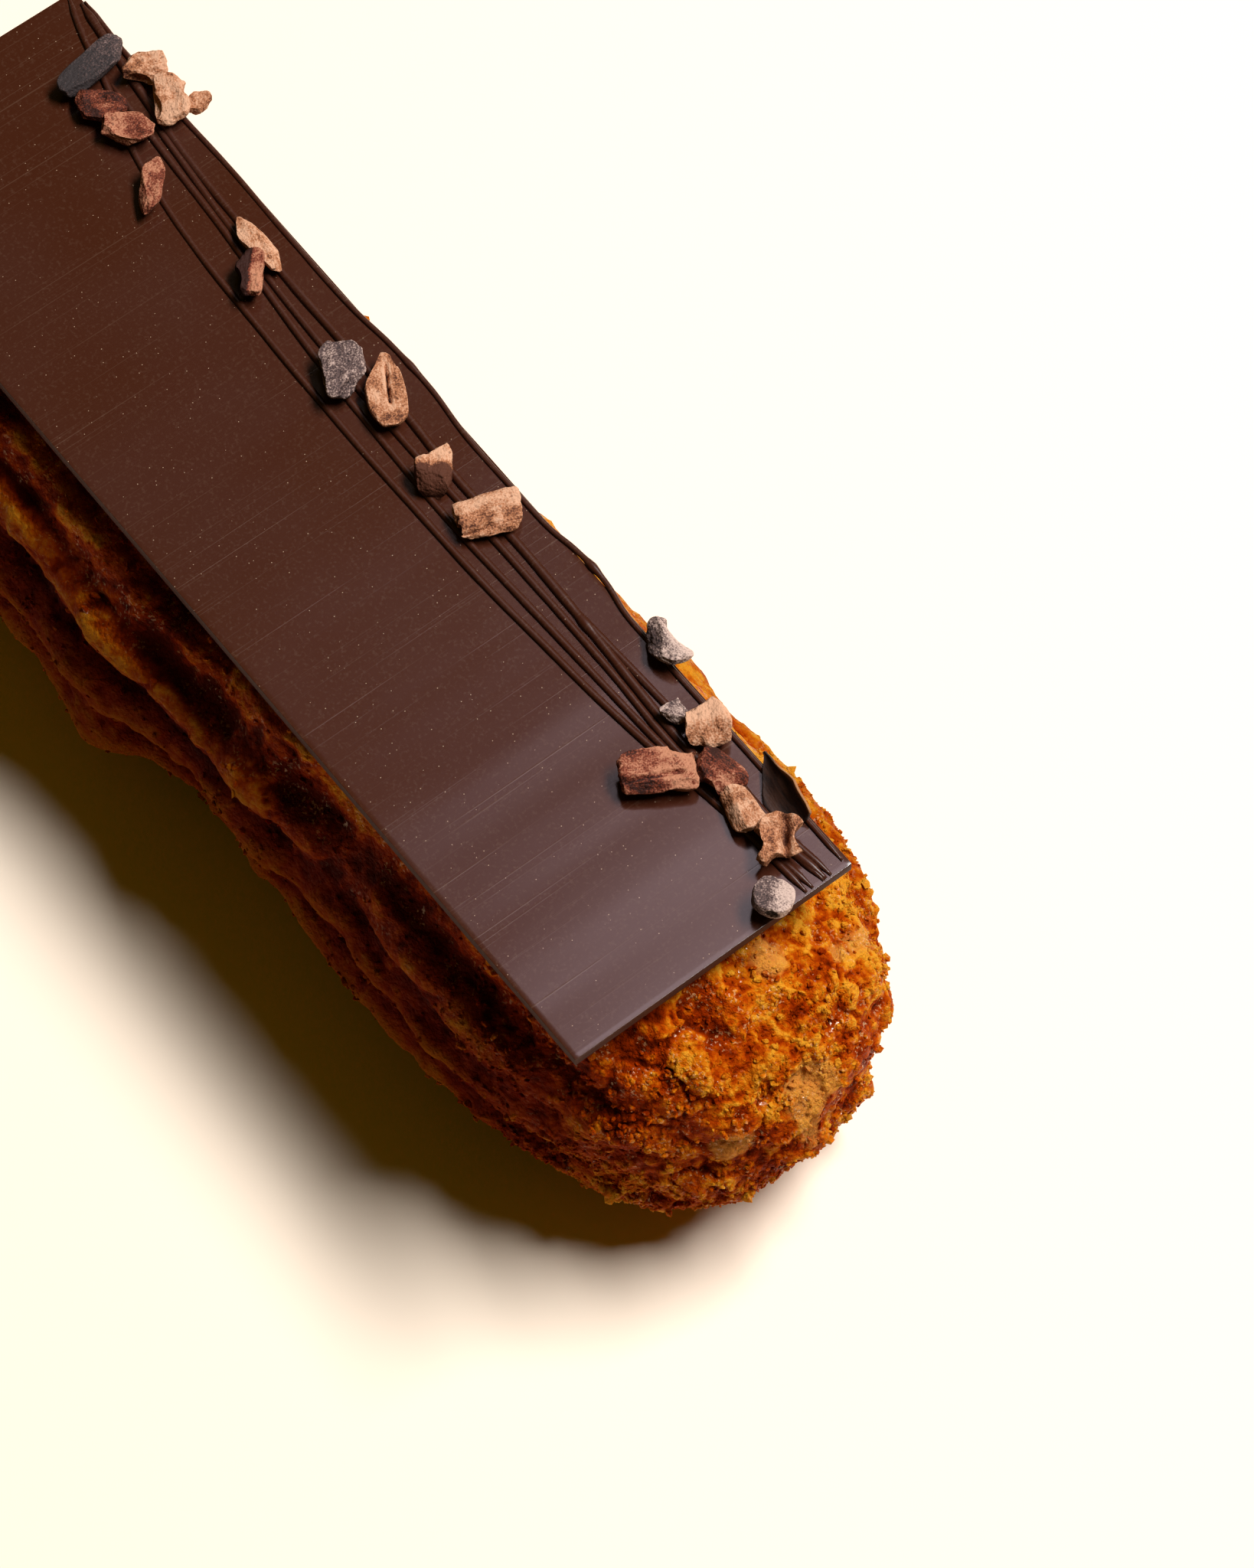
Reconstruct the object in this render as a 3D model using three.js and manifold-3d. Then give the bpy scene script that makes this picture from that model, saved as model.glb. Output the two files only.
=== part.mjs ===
// Chocolate eclair. A long choux shell, piped in ribs and baked under a crust that broke into crags,
// carries a thin rectangular plaque of dark chocolate. Piped threads of chocolate run along one
// long edge of the plaque, and cocoa nibs lie on them.
// Millimetres, +Z up. X runs along the eclair, and the end with the most nibs points to +X.
import * as THREE from "three";
import { mergeVertices } from "three/addons/utils/BufferGeometryUtils.js";
import Module from "manifold-3d";

const wasm = await Module();
wasm.setup();

// Driving dimensions of the choux shell.
const SHELL_LENGTH = 136;
const SHELL_WIDTH = 41;
const SHELL_HEIGHT = 35;
const END_ROUNDING = 36; // length over which each end rounds off
const SECTION_POWER = 2.4; // 2 is an ellipse, more is squarer
const PLAN_POWER = 2.3;
const BASE_CUT = 2.6; // how much of the round section the baking tray flattened away

// The crust's relief is made of noise layers: how far apart a layer's bumps are, how high, and
// which random draw they come from. A height is in millimetres unless its comment says otherwise.
const LUMPS = { size: 11, height: 0.9, seed: 31 };
const CRUMBS = { size: 3.2, height: 0.7, seed: 32 };

// Ribs from the teeth of the piping nozzle.
const RIBS = {
  count: 18, // round the whole section
  depth: 2.3,
  turn: THREE.MathUtils.degToRad(-5), // where round the section they lie
  bluntness: 0.75, // below 1, the ribs are broad and the grooves between them narrow
  level: 0.68, // share of the depth that lies inside the smooth shell
  lostAtTips: 0.75, // share of the depth that is gone at the tips
  wander: { size: 26, height: 0.09, seed: 11 }, // radians
  waver: { size: 9, height: 0.04, seed: 12 }, // radians
  patches: { size: 13, height: 0.45, seed: 13 }, // share of the depth
};

// Crags: the crust broke into plates with cracks between them.
const CRAGS = {
  size: 6.5,
  depth: 1.5,
  stretch: 1.4, // how much longer than wide the plates are
  level: 0.45,
  alongBody: 0.55, // share of the depth away from the tips
  crackFrom: 0.02, // a crack is open up to here, as a share of the plate
  crackTo: 0.34, // and the plate is at its full height from here
  lift: 0.55, // mean height of a plate, as a share of the depth
  tilt: { size: 8.5, height: 0.45, seed: 23 },
  bend: { size: 5, height: 1.6, seed: 21 },
  seed: 22,
};
const TIP_FROM = 22; // the relief of the tips starts this far from them
const TIP_FULL = 4; // and is at its full strength from here
const QUIET_HEIGHT = 2.5; // the base is baked flat, so the relief dies out below this height

// Swells and pinches of the whole shell, and flakes that stand off the crust.
const SWELLS = [
  { at: [-12, -21, 9], reach: 16, rise: 1 },
  { at: [6, -20, 9], reach: 18, rise: -1.8 },
  { at: [44, 20, 17], reach: 13, rise: 1.3 },
  { at: [64, 14, 14], reach: 8, rise: -0.9 },
];
const SWELL_SLOPE = 1; // share of the reach over which a swell rises
const FLAKES = [
  { at: [63.4, 9.6, 6.5], reach: 4, rise: 2.2 },
  { at: [66, 3, 3.5], reach: 3.5, rise: 1.2 },
  { at: [-8, -21, 11], reach: 6, rise: 1.2 },
  { at: [27, 20.5, 20], reach: 6, rise: 1.2 },
  { at: [-60, 12, 14], reach: 6, rise: 1.8 },
];
const FLAKE_SLOPE = 0.5;

// Driving dimensions of the plaque and of what lies on it.
const PLAQUE_LENGTH = 115.4;
const PLAQUE_WIDTH = 30;
const PLAQUE_THICKNESS = 1.2;
const PLAQUE_TURN = THREE.MathUtils.degToRad(-2.6); // it lies a little askew on the shell
const PLAQUE_OFFSET = new THREE.Vector2(-2.4, 0.85);
const SEAT_GAP = 0.3;
const THREAD_RADIUS = 0.45;
const THREAD_SIDES = 5;
const THREAD_LIFT = 0.12; // the threads' axis lies this far above the plaque's top face
const NIB_SINK = 0.35;

// Resolution of the shell: cells round a quarter, along the straight part and along each end.
const CELLS_QUARTER = 21;
const CELLS_STRAIGHT = 20;
const CELLS_END = 12;

const CHOUX_COLOUR = 0xb8701f;
const CHOCOLATE_COLOUR = 0x3a2320;

// A repeatable number from 0 to 1 for each point of a whole-number lattice.
function latticeValue(i, j, k, seed) {
  let h = Math.imul(i, 374761393) + Math.imul(j, 668265263);
  h = (h + Math.imul(k, 1103515245) + Math.imul(seed, 974634777)) | 0;
  h = Math.imul(h ^ (h >>> 13), 1274126177);
  h = Math.imul(h ^ (h >>> 15), 2246822519);
  return ((h ^ (h >>> 16)) >>> 0) / 4294967295;
}

// Smooth noise from -1 to 1 whose bumps are about `size` across.
function smoothNoise(p, size, seed) {
  const at = [p.x / size, p.y / size, p.z / size];
  const low = at.map(Math.floor);
  const ease = at.map((v, n) => (v - low[n]) ** 2 * (3 - 2 * (v - low[n])));
  let sum = 0;
  for (let corner = 0; corner < 8; corner++) {
    const step = [corner & 1, (corner >> 1) & 1, corner >> 2];
    const weight = step.reduce((w, s, n) => w * (s ? ease[n] : 1 - ease[n]), 1);
    sum += weight * latticeValue(low[0] + step[0], low[1] + step[1], low[2] + step[2], seed);
  }
  return 2 * sum - 1;
}

// Distance to the border between scattered cells of about `size`, from 0 on a border to about 1.
function cellBorder(p, size, seed) {
  const at = new THREE.Vector3(p.x / size, p.y / size, p.z / size);
  const low = at.clone().floor();
  let first = Infinity;
  let second = Infinity;
  for (let n = 0; n < 27; n++) {
    const [i, j, k] = [(n % 3) - 1, (Math.floor(n / 3) % 3) - 1, Math.floor(n / 9) - 1];
    const cell = [low.x + i, low.y + j, low.z + k];
    const jitter = [0, 1, 2].map((axis) => latticeValue(...cell, seed + axis));
    const d = at.distanceTo(
      new THREE.Vector3(cell[0] + jitter[0], cell[1] + jitter[1], cell[2] + jitter[2]),
    );
    second = Math.min(second, Math.max(first, d));
    first = Math.min(first, d);
  }
  return second - first;
}

function deleteAllButPosition(geometry) {
  geometry.deleteAttribute("normal");
  geometry.deleteAttribute("uv");
  return mergeVertices(geometry, 1e-4);
}

function toSolid(geometry) {
  const merged = deleteAllButPosition(geometry);
  return new wasm.Manifold(
    new wasm.Mesh({
      numProp: 3,
      vertProperties: merged.attributes.position.array,
      triVerts: new Uint32Array(merged.index.array),
    }),
  );
}

// Joining and cutting can leave loose scraps and sealed bubbles: only the body itself is kept.
function wholeBody(solid) {
  return solid.decompose().reduce((most, one) => (one.volume() > most.volume() ? one : most));
}

function toMesh(solid, name, material) {
  const made = wholeBody(solid).getMesh();
  const geometry = new THREE.BufferGeometry();
  geometry.setAttribute("position", new THREE.BufferAttribute(made.vertProperties, 3));
  geometry.setIndex(new THREE.BufferAttribute(made.triVerts, 1));
  geometry.computeVertexNormals();
  const mesh = new THREE.Mesh(geometry, material);
  mesh.name = name;
  return mesh;
}

// Moves every vertex of a geometry with change(point), which edits the point in place.
function moveVertices(geometry, change) {
  const position = geometry.attributes.position;
  const point = new THREE.Vector3();
  for (let n = 0; n < position.count; n++) {
    point.fromBufferAttribute(position, n);
    change(point, n);
    position.setXYZ(n, point.x, point.y, point.z);
  }
  position.needsUpdate = true;
  return geometry;
}

// The shell before its relief

const HALF_HEIGHT = (SHELL_HEIGHT + BASE_CUT) / 2;
const SECTION_CENTRE = SHELL_HEIGHT - HALF_HEIGHT;
const HALF_STRAIGHT = SHELL_LENGTH / 2 - END_ROUNDING;

// A point of the box with corners at +-1 becomes a point of the smooth shell.
function boxToShell(p) {
  const cells = CELLS_STRAIGHT + 2 * CELLS_END;
  const column = Math.round(((p.x + 1) / 2) * cells);
  const beyond = Math.max(CELLS_END - column, column - CELLS_END - CELLS_STRAIGHT, 0);
  const e = beyond / CELLS_END;
  const share = (column - CELLS_END) / CELLS_STRAIGHT;
  const straight = THREE.MathUtils.clamp(2 * share - 1, -1, 1) * HALF_STRAIGHT;
  const along = e * Math.sqrt(1 - (p.y ** 2 + p.z ** 2) / 2 + (p.y * p.z) ** 2 / 3);
  const across = p.y * Math.sqrt(1 - (e ** 2 + p.z ** 2) / 2 + (e * p.z) ** 2 / 3);
  const up = p.z * Math.sqrt(1 - (e ** 2 + p.y ** 2) / 2 + (e * p.y) ** 2 / 3);
  const round = (Math.abs(across) ** SECTION_POWER + Math.abs(up) ** SECTION_POWER) ** (1 / SECTION_POWER);
  const reach = (round ** PLAN_POWER + along ** PLAN_POWER) ** (1 / PLAN_POWER);
  p.x = straight + (Math.sign(p.x) * along * END_ROUNDING) / reach;
  p.y = (across * SHELL_WIDTH) / 2 / reach;
  p.z = SECTION_CENTRE + (up * HALF_HEIGHT) / reach;
}

// The crust's relief

function layer(p, { size, height, seed }) {
  return height * smoothNoise(p, size, seed);
}

// 0 along the body and 1 at the tips.
function tipShare(p) {
  const half = SHELL_LENGTH / 2;
  return THREE.MathUtils.smoothstep(Math.abs(p.x), half - TIP_FROM, half - TIP_FULL);
}

function ribRelief(p) {
  const angle = Math.atan2(p.z - SECTION_CENTRE, p.y) + RIBS.turn;
  const wandering = angle + layer(p, RIBS.wander) + layer(p, RIBS.waver);
  const lobe = Math.abs(Math.sin((RIBS.count / 2) * wandering)) ** RIBS.bluntness;
  const strength = (1 - RIBS.lostAtTips * tipShare(p)) * (1 + layer(p, RIBS.patches));
  return RIBS.depth * strength * (lobe - RIBS.level);
}

function cragRelief(p) {
  const bent = p.clone().addScalar(layer(p, CRAGS.bend));
  bent.x /= CRAGS.stretch;
  const fromCrack = cellBorder(bent, CRAGS.size, CRAGS.seed);
  const plate = THREE.MathUtils.smoothstep(fromCrack, CRAGS.crackFrom, CRAGS.crackTo);
  const depth = CRAGS.depth * THREE.MathUtils.lerp(CRAGS.alongBody, 1, tipShare(p));
  return depth * (plate * (CRAGS.lift + layer(p, CRAGS.tilt)) - CRAGS.level);
}

function spotRelief(p, spots, slope) {
  let rise = 0;
  for (const spot of spots) {
    const near = 1 - p.distanceTo(new THREE.Vector3(...spot.at)) / spot.reach;
    rise += spot.rise * THREE.MathUtils.smoothstep(near, 0, slope);
  }
  return rise;
}

function crustRelief(p) {
  const quiet = THREE.MathUtils.smoothstep(p.z, -BASE_CUT, QUIET_HEIGHT);
  const spots = spotRelief(p, SWELLS, SWELL_SLOPE) + spotRelief(p, FLAKES, FLAKE_SLOPE);
  return quiet * (ribRelief(p) + cragRelief(p) + layer(p, LUMPS) + layer(p, CRUMBS) + spots);
}

// The plaque's own frame: the middle of its top face, with X along it and Y across it.
const PLAQUE_TOP = SHELL_HEIGHT + PLAQUE_THICKNESS;
const plaquePlace = new THREE.Matrix4()
  .makeRotationZ(PLAQUE_TURN)
  .setPosition(PLAQUE_OFFSET.x, PLAQUE_OFFSET.y, PLAQUE_TOP);

function chouxShell() {
  const columns = CELLS_STRAIGHT + 2 * CELLS_END;
  const box = new THREE.BoxGeometry(2, 2, 2, columns, CELLS_QUARTER, CELLS_QUARTER);
  const smooth = moveVertices(deleteAllButPosition(box), boxToShell);
  smooth.computeVertexNormals();
  const normal = new THREE.Vector3();
  const crust = moveVertices(smooth, (p, n) => {
    normal.fromBufferAttribute(smooth.attributes.normal, n);
    p.addScaledVector(normal, crustRelief(p));
  });
  const roomy = 2 * SHELL_LENGTH;
  const aboveTray = new THREE.BoxGeometry(roomy, roomy, roomy).translate(0, 0, roomy / 2);
  const seat = new THREE.BoxGeometry(
    PLAQUE_LENGTH + 2 * SEAT_GAP,
    PLAQUE_WIDTH + 2 * SEAT_GAP,
    SHELL_HEIGHT,
  )
    .translate(0, 0, SHELL_HEIGHT / 2 - PLAQUE_THICKNESS - SEAT_GAP)
    .applyMatrix4(plaquePlace);
  return toSolid(crust).intersect(toSolid(aboveTray)).subtract(toSolid(seat));
}

// The plaque's threads, from the innermost. Each lists its bends as [along, across] on the plaque.
// They start together at the -X end, fan out, and draw together again near the +X end.
const THREADS = [
  [[-57.4, 14.2], [-47, 11.2], [-33, 7.8], [-15, 6.7], [5, 6.5], [25, 7.2], [41, 8.6], [57.5, 10.9]],
  [[-47, 11.6], [-28, 10.4], [-11, 8.9], [5, 8.2], [24, 8.6], [38, 9.1], [57.5, 10.2]],
  [[-41, 12.2], [-20, 10.5], [0, 9.95], [30, 10.15], [40, 9.9], [57.5, 12.1]],
  [[-56, 14.7], [-38, 12.6], [-20, 11.9], [0, 11.7], [20, 11.4], [41, 10.7], [57.5, 12.3]],
  [[23, 11.4], [36, 11.95], [50, 12.1], [57.5, 12.9]],
];
const THICK_THREAD = 3;
const THICKER_BY = 1.25;
const STEPS_PER_BEND = 2.5;

// The rim: a bead of chocolate just inside the plaque's long edge, which spills over it in places.
const RIM = {
  radius: 0.5,
  inset: 0.35,
  from: -56,
  to: 57,
  steps: 34,
  spills: [
    { at: -4.5, half: 8, out: 0.5 },
    { at: 21, half: 4.5, out: 0.6 },
    { at: -55, half: 5, out: 0.4 },
  ],
};

function rimBends() {
  const bends = [];
  for (let n = 0; n <= RIM.steps; n++) {
    const along = THREE.MathUtils.lerp(RIM.from, RIM.to, n / RIM.steps);
    let across = PLAQUE_WIDTH / 2 - RIM.inset;
    for (const { at, half, out } of RIM.spills) {
      across += out * (1 - THREE.MathUtils.smoothstep(Math.abs(along - at), half / 2, half));
    }
    bends.push([along, across]);
  }
  return bends;
}

function thread(bends, radius, steps) {
  const corners = [];
  for (let n = 0; n < THREAD_SIDES; n++) {
    const angle = (2 * Math.PI * n) / THREAD_SIDES;
    corners.push(new THREE.Vector2(radius * Math.cos(angle), radius * Math.sin(angle)));
  }
  const section = new THREE.Shape(corners);
  const path = new THREE.CatmullRomCurve3(
    bends.map(([along, across]) => new THREE.Vector3(along, across, THREAD_LIFT)),
  );
  return new THREE.ExtrudeGeometry(section, { steps, extrudePath: path });
}

// Cocoa nibs: [along, across] on the plaque, [length, width, height], turn in degrees, seed.
// Where the plaque's edge is near, a nib may hang over it.
const NIBS = [
  { at: [-48.8, 10.9], size: [8, 3.2, 2.4], turn: -80, seed: 1 },
  { at: [-45.8, 14.8], size: [4.3, 3.4, 2.5], turn: 50, seed: 2 },
  { at: [-41.2, 14.6], size: [5.3, 4, 2.7], turn: -28, seed: 3 },
  { at: [-39.6, 16.4], size: [2.6, 2.2, 1.8], turn: 60, seed: 4, lift: 0.2 },
  { at: [-44.9, 9.1], size: [5.1, 3.6, 2.2], turn: 48, seed: 5 },
  { at: [-41.2, 9.6], size: [5, 3.7, 2.3], turn: 52, seed: 6 },
  { at: [-34.7, 7.5], size: [6.2, 2.5, 2.2], turn: -49, seed: 7 },
  { at: [-23.8, 11.6], size: [7.1, 2.4, 2], turn: -4, seed: 8 },
  { at: [-21.5, 9], size: [5.1, 2.7, 2.3], turn: -40, seed: 9 },
  { at: [-8, 9.3], size: [6.2, 4.6, 3], turn: -45, seed: 10 },
  { at: [-4.1, 11.3], size: [7.8, 3.7, 1.9], turn: -26, seed: 11 },
  { at: [5.1, 9.8], size: [4.6, 3.5, 2.9], turn: -35, seed: 12 },
  { at: [11.8, 10.9], size: [6.3, 3.9, 2.4], turn: 68, seed: 13 },
  { at: [31.7, 15.3], size: [5.3, 3, 2.8], turn: 12, seed: 14 },
  { at: [40.1, 13.2], size: [4.4, 4.1, 2.7], turn: -35, seed: 15 },
  { at: [37.2, 11.8], size: [2.7, 2.2, 2], turn: 30, seed: 16 },
  { at: [41.1, 6.9], size: [7.1, 4.4, 2.5], turn: 62, seed: 17 },
  { at: [44.4, 11.1], size: [4.9, 3.7, 2.3], turn: 5, seed: 18 },
  { at: [48.3, 10.4], size: [4.7, 3.1, 2.1], turn: -8, seed: 19 },
  { at: [52.7, 10.9], size: [5.2, 4.3, 2.7], turn: -40, seed: 20 },
  { at: [56.8, 7], size: [3.8, 3.6, 3], turn: 30, seed: 21, lift: 0.2 },
];

// A broken bean is a round stone with flats knocked off it. Its numbers are shares of its radius.
const STONE = {
  flats: 7,
  nearest: 0.52, // distance of the nearest flat from the middle
  spread: 0.25,
  kept: 0.1, // share of what stands beyond a flat that stays
  lumps: { size: 0.6, height: 0.1 },
  seed: 41,
};

function nibStone({ at, size, turn, seed, lift = 0 }) {
  const stone = deleteAllButPosition(new THREE.IcosahedronGeometry(1, 1));
  const flats = [];
  for (let n = 0; n < STONE.flats; n++) {
    const [a, b, c, far] = [0, 1, 2, 3].map((draw) => latticeValue(n, seed, draw, STONE.seed));
    flats.push({
      normal: new THREE.Vector3(2 * a - 1, 2 * b - 1, 2 * c - 1).normalize(),
      distance: STONE.nearest + STONE.spread * far,
    });
  }
  moveVertices(stone, (p) => {
    for (const { normal, distance } of flats) {
      const beyond = Math.max(0, p.dot(normal) - distance);
      p.addScaledVector(normal, (STONE.kept - 1) * beyond);
    }
    p.multiplyScalar(1 + layer(p, { ...STONE.lumps, seed }));
  });
  stone.computeBoundingBox();
  const { min, max } = stone.boundingBox;
  stone
    .translate(-(min.x + max.x) / 2, -(min.y + max.y) / 2, -min.z)
    .scale(size[0] / (max.x - min.x), size[1] / (max.y - min.y), size[2] / (max.z - min.z))
    .rotateZ(THREE.MathUtils.degToRad(turn))
    .translate(at[0], at[1], lift - NIB_SINK);
  return stone;
}

// A shard of husk: a thin, cupped leaf that leans outwards over the plaque's edge, tip to -X.
const HUSK = {
  at: [48.4, 14.4],
  length: 7.6,
  width: 4,
  thickness: 0.6,
  cup: 0.8, // how far its long edges curl up
  arch: 0.5, // how far its two ends droop
  tip: 0.06, // width at the tip, as a share
  shoulder: 0.6, // how far from the tip it is widest, as a share of the length
  heel: 0.65, // width at the other end, as a share
  lean: 42, // degrees
  turn: -12,
};

function huskShard() {
  const { length, width, thickness } = HUSK;
  const leaf = deleteAllButPosition(new THREE.BoxGeometry(length, width, thickness, 8, 4, 1));
  moveVertices(leaf, (p) => {
    const along = p.x / length + 0.5;
    const across = (2 * p.y) / width;
    const widening = Math.min(1, along / HUSK.shoulder);
    const taper = Math.max(HUSK.tip, widening * (1 - (1 - HUSK.heel) * along ** 3));
    p.y *= taper;
    p.z += HUSK.cup * across ** 2 * taper - HUSK.arch * (2 * along - 1) ** 2;
  });
  leaf.rotateX(THREE.MathUtils.degToRad(HUSK.lean)).rotateZ(THREE.MathUtils.degToRad(HUSK.turn));
  leaf.computeBoundingBox();
  return leaf.translate(HUSK.at[0], HUSK.at[1], -leaf.boundingBox.min.z - NIB_SINK);
}

function chocolatePlaque() {
  const slab = new THREE.BoxGeometry(PLAQUE_LENGTH, PLAQUE_WIDTH, PLAQUE_THICKNESS)
    .translate(0, 0, -PLAQUE_THICKNESS / 2);
  const laid = THREADS.map((bends, n) => {
    const radius = THREAD_RADIUS * (n === THICK_THREAD ? THICKER_BY : 1);
    return thread(bends, radius, Math.round(STEPS_PER_BEND * bends.length));
  });
  laid.push(thread(rimBends(), RIM.radius, RIM.steps), huskShard(), ...NIBS.map(nibStone));
  const solids = [slab, ...laid].map((g) => toSolid(g.applyMatrix4(plaquePlace)));
  return solids.reduce((all, one) => all.add(one));
}

const choux = new THREE.MeshStandardMaterial({ color: CHOUX_COLOUR, roughness: 0.8, metalness: 0 });
const chocolate = new THREE.MeshStandardMaterial({
  color: CHOCOLATE_COLOUR,
  roughness: 0.4,
  metalness: 0,
});

const eclair = new THREE.Group();
eclair.add(toMesh(chouxShell(), "choux_shell", choux));
eclair.add(toMesh(chocolatePlaque(), "chocolate_plaque", chocolate));

// The origin is the middle of the whole eclair's footprint, on the surface it stands on.
const extent = new THREE.Box3().setFromObject(eclair, true);
const middle = extent.getCenter(new THREE.Vector3());
eclair.position.set(-middle.x, -middle.y, -extent.min.z);

export default eclair;
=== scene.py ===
"""The looks of a chocolate eclair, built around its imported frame.

The crust, the plaque, its threads, the cocoa nibs and the husk are shaped in millimetres and handed
over in metres, in the frame's own place. The plaque and all that lies on it share the plaque's own
frame: X along it, Y across it, and the middle of its top face as the origin.
"""

import itertools
import logging
import math
from abc import ABC, abstractmethod
from collections.abc import Iterable, Iterator, Sequence
from contextlib import contextmanager
from dataclasses import dataclass, replace
from enum import Enum

import bmesh
import bpy
import numpy as np
from mathutils import Matrix, Vector


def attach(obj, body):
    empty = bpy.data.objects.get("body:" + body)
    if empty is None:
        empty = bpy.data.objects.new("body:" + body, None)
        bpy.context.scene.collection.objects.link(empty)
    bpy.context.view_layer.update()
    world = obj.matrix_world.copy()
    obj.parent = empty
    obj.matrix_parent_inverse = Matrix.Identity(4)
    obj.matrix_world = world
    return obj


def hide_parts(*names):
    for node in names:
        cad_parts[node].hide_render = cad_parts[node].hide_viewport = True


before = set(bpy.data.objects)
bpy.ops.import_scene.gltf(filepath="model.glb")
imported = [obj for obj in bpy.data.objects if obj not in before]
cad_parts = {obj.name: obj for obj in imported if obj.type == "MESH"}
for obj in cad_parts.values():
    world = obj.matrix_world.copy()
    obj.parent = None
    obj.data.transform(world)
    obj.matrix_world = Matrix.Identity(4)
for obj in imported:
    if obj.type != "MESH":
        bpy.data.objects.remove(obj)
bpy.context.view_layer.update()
# A millimetre in metres, and how near in millimetres two points are the same.
MM = 0.001
TOUCH = 0.001
log = logging.getLogger("eclair")

Colour = tuple[float, float, float]
Span = tuple[float, float]
Value = float | Sequence[float] | bpy.types.NodeSocket


class Slot(Enum):
    """The record's material slots."""

    CHOUX = "choux"
    CHOCOLATE = "chocolate"
    NIB_TAN = "nib_tan"
    NIB_BROWN = "nib_brown"
    NIB_GREY = "nib_grey"
    HUSK = "husk"


# Noise


# These numbers only scramble the bits of a cell's place and of its seed.
LOW_BITS = np.uint64(0xFFFFFFFF)
CELL_FACTORS = np.array((374761393, 668265263, 1103515245), np.uint64)
SEED_FACTOR = 974634777
SCRAMBLES = ((13, 1274126177), (15, 2246822519))
LAST_SHIFT = 16


def lattice_value(cells: np.ndarray, seed: int) -> np.ndarray:
    """Draws a repeatable number for each cell of a whole-number lattice.

    Args:
        cells: The cells, in rows of three whole numbers.
        seed: Which random draw to make.

    Returns:
        One number from 0 to 1 for each cell.
    """
    whole = cells.astype(np.int64).astype(np.uint64) & LOW_BITS
    mixed = (whole @ CELL_FACTORS + np.uint64(seed * SEED_FACTOR)) & LOW_BITS
    for shift, factor in SCRAMBLES:
        mixed = ((mixed ^ (mixed >> np.uint64(shift))) * np.uint64(factor)) & LOW_BITS
    return (mixed ^ (mixed >> np.uint64(LAST_SHIFT))) / float(LOW_BITS)


def smooth_noise(points: np.ndarray, size: float, seed: int) -> np.ndarray:
    """Reads smooth noise at some points.

    Args:
        points: Places, in rows of three.
        size: How far apart the noise's bumps are.
        seed: Which random draw to make.

    Returns:
        One number from -1 to 1 for each point.
    """
    at = points / size
    low = np.floor(at)
    ease = smooth_step(at - low, 0, 1)
    total = np.zeros(len(points))
    for corner in itertools.product((0, 1), repeat=3):
        weight = np.prod(np.where(corner, ease, 1 - ease), axis=-1)
        total += weight * lattice_value(low + corner, seed)
    return 2 * total - 1


def smooth_step(value: np.ndarray, low: float, high: float) -> np.ndarray:
    """Rises smoothly from 0 at low to 1 at high."""
    share = np.clip((value - low) / (high - low), 0, 1)
    return share * share * (3 - 2 * share)


def between(start: float, end: float, share: np.ndarray) -> np.ndarray:
    """Goes evenly from start at a share of 0 to end at 1."""
    return start + (end - start) * share


@dataclass(frozen=True)
class Layer:
    """A layer of smooth noise: how far apart its bumps are, how high, and its random draw."""

    size: float
    height: float
    seed: int

    def over(self, points: np.ndarray) -> np.ndarray:
        """Reads the layer at some points."""
        return self.height * smooth_noise(points, self.size, self.seed)

    def shifts(self, points: np.ndarray) -> np.ndarray:
        """Reads three draws of the layer at some points, as rows of X, Y and Z."""
        draws = [smooth_noise(points, self.size, self.seed + axis) for axis in range(3)]
        return self.height * np.stack(draws, -1)


@dataclass(frozen=True)
class Lumps:
    """Lumps round scattered seeds, one to a cell: the cells' size, the lumps' depth and their draw."""

    size: float
    depth: float
    seed: int

    def near(self, points: np.ndarray) -> tuple[np.ndarray, np.ndarray, np.ndarray]:
        """Finds the seeds nearest to some points.

        Args:
            points: Places, in rows of three.

        Returns:
            The distance to the nearest seed and to the next one, as shares of the size, and a random
            number that belongs to the nearest seed.
        """
        at = points / self.size
        low = np.floor(at)
        first, second = np.full((2, len(points)), np.inf)
        draw = np.zeros(len(points))
        for step in itertools.product((-1, 0, 1), repeat=3):
            cell = low + step
            jitter = np.stack([lattice_value(cell, self.seed + axis) for axis in range(3)], -1)
            distance = np.linalg.norm(at - cell - jitter, axis=-1)
            nearer = distance < first
            second = np.where(nearer, first, np.minimum(second, distance))
            draw = np.where(nearer, lattice_value(cell, self.seed + 3), draw)
            first = np.where(nearer, distance, first)
        return first, second, draw


# Meshes


def read_rows(parts: bpy.types.bpy_prop_collection, name: str, width: int = 1, kind: type = np.float32
              ) -> np.ndarray:
    """Reads one property of many parts of a mesh.

    Args:
        parts: The parts, such as the mesh's vertices.
        name: The property's name.
        width: How many numbers the property holds.
        kind: The numbers' type.

    Returns:
        One row of numbers for each part.
    """
    flat = np.empty(width * len(parts), kind)
    parts.foreach_get(name, flat)
    return flat.reshape(-1, width)


def points_of(mesh: bpy.types.Mesh) -> np.ndarray:
    """Reads a mesh's vertices in millimetres."""
    return read_rows(mesh.vertices, "co", 3).astype(float) / MM


def set_points(mesh: bpy.types.Mesh, points: np.ndarray) -> None:
    """Moves a mesh's vertices to places in millimetres."""
    mesh.vertices.foreach_set("co", (points * MM).astype(np.float32).ravel())
    mesh.update()


def normals_of(mesh: bpy.types.Mesh) -> np.ndarray:
    """Reads a mesh's vertex normals."""
    return read_rows(mesh.vertex_normals, "vector", 3).astype(float)


def values_of(mesh: bpy.types.Mesh, name: str) -> np.ndarray:
    """Reads a named attribute, one number for each vertex."""
    return read_rows(mesh.attributes[name].data, "value")[:, 0]


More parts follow.
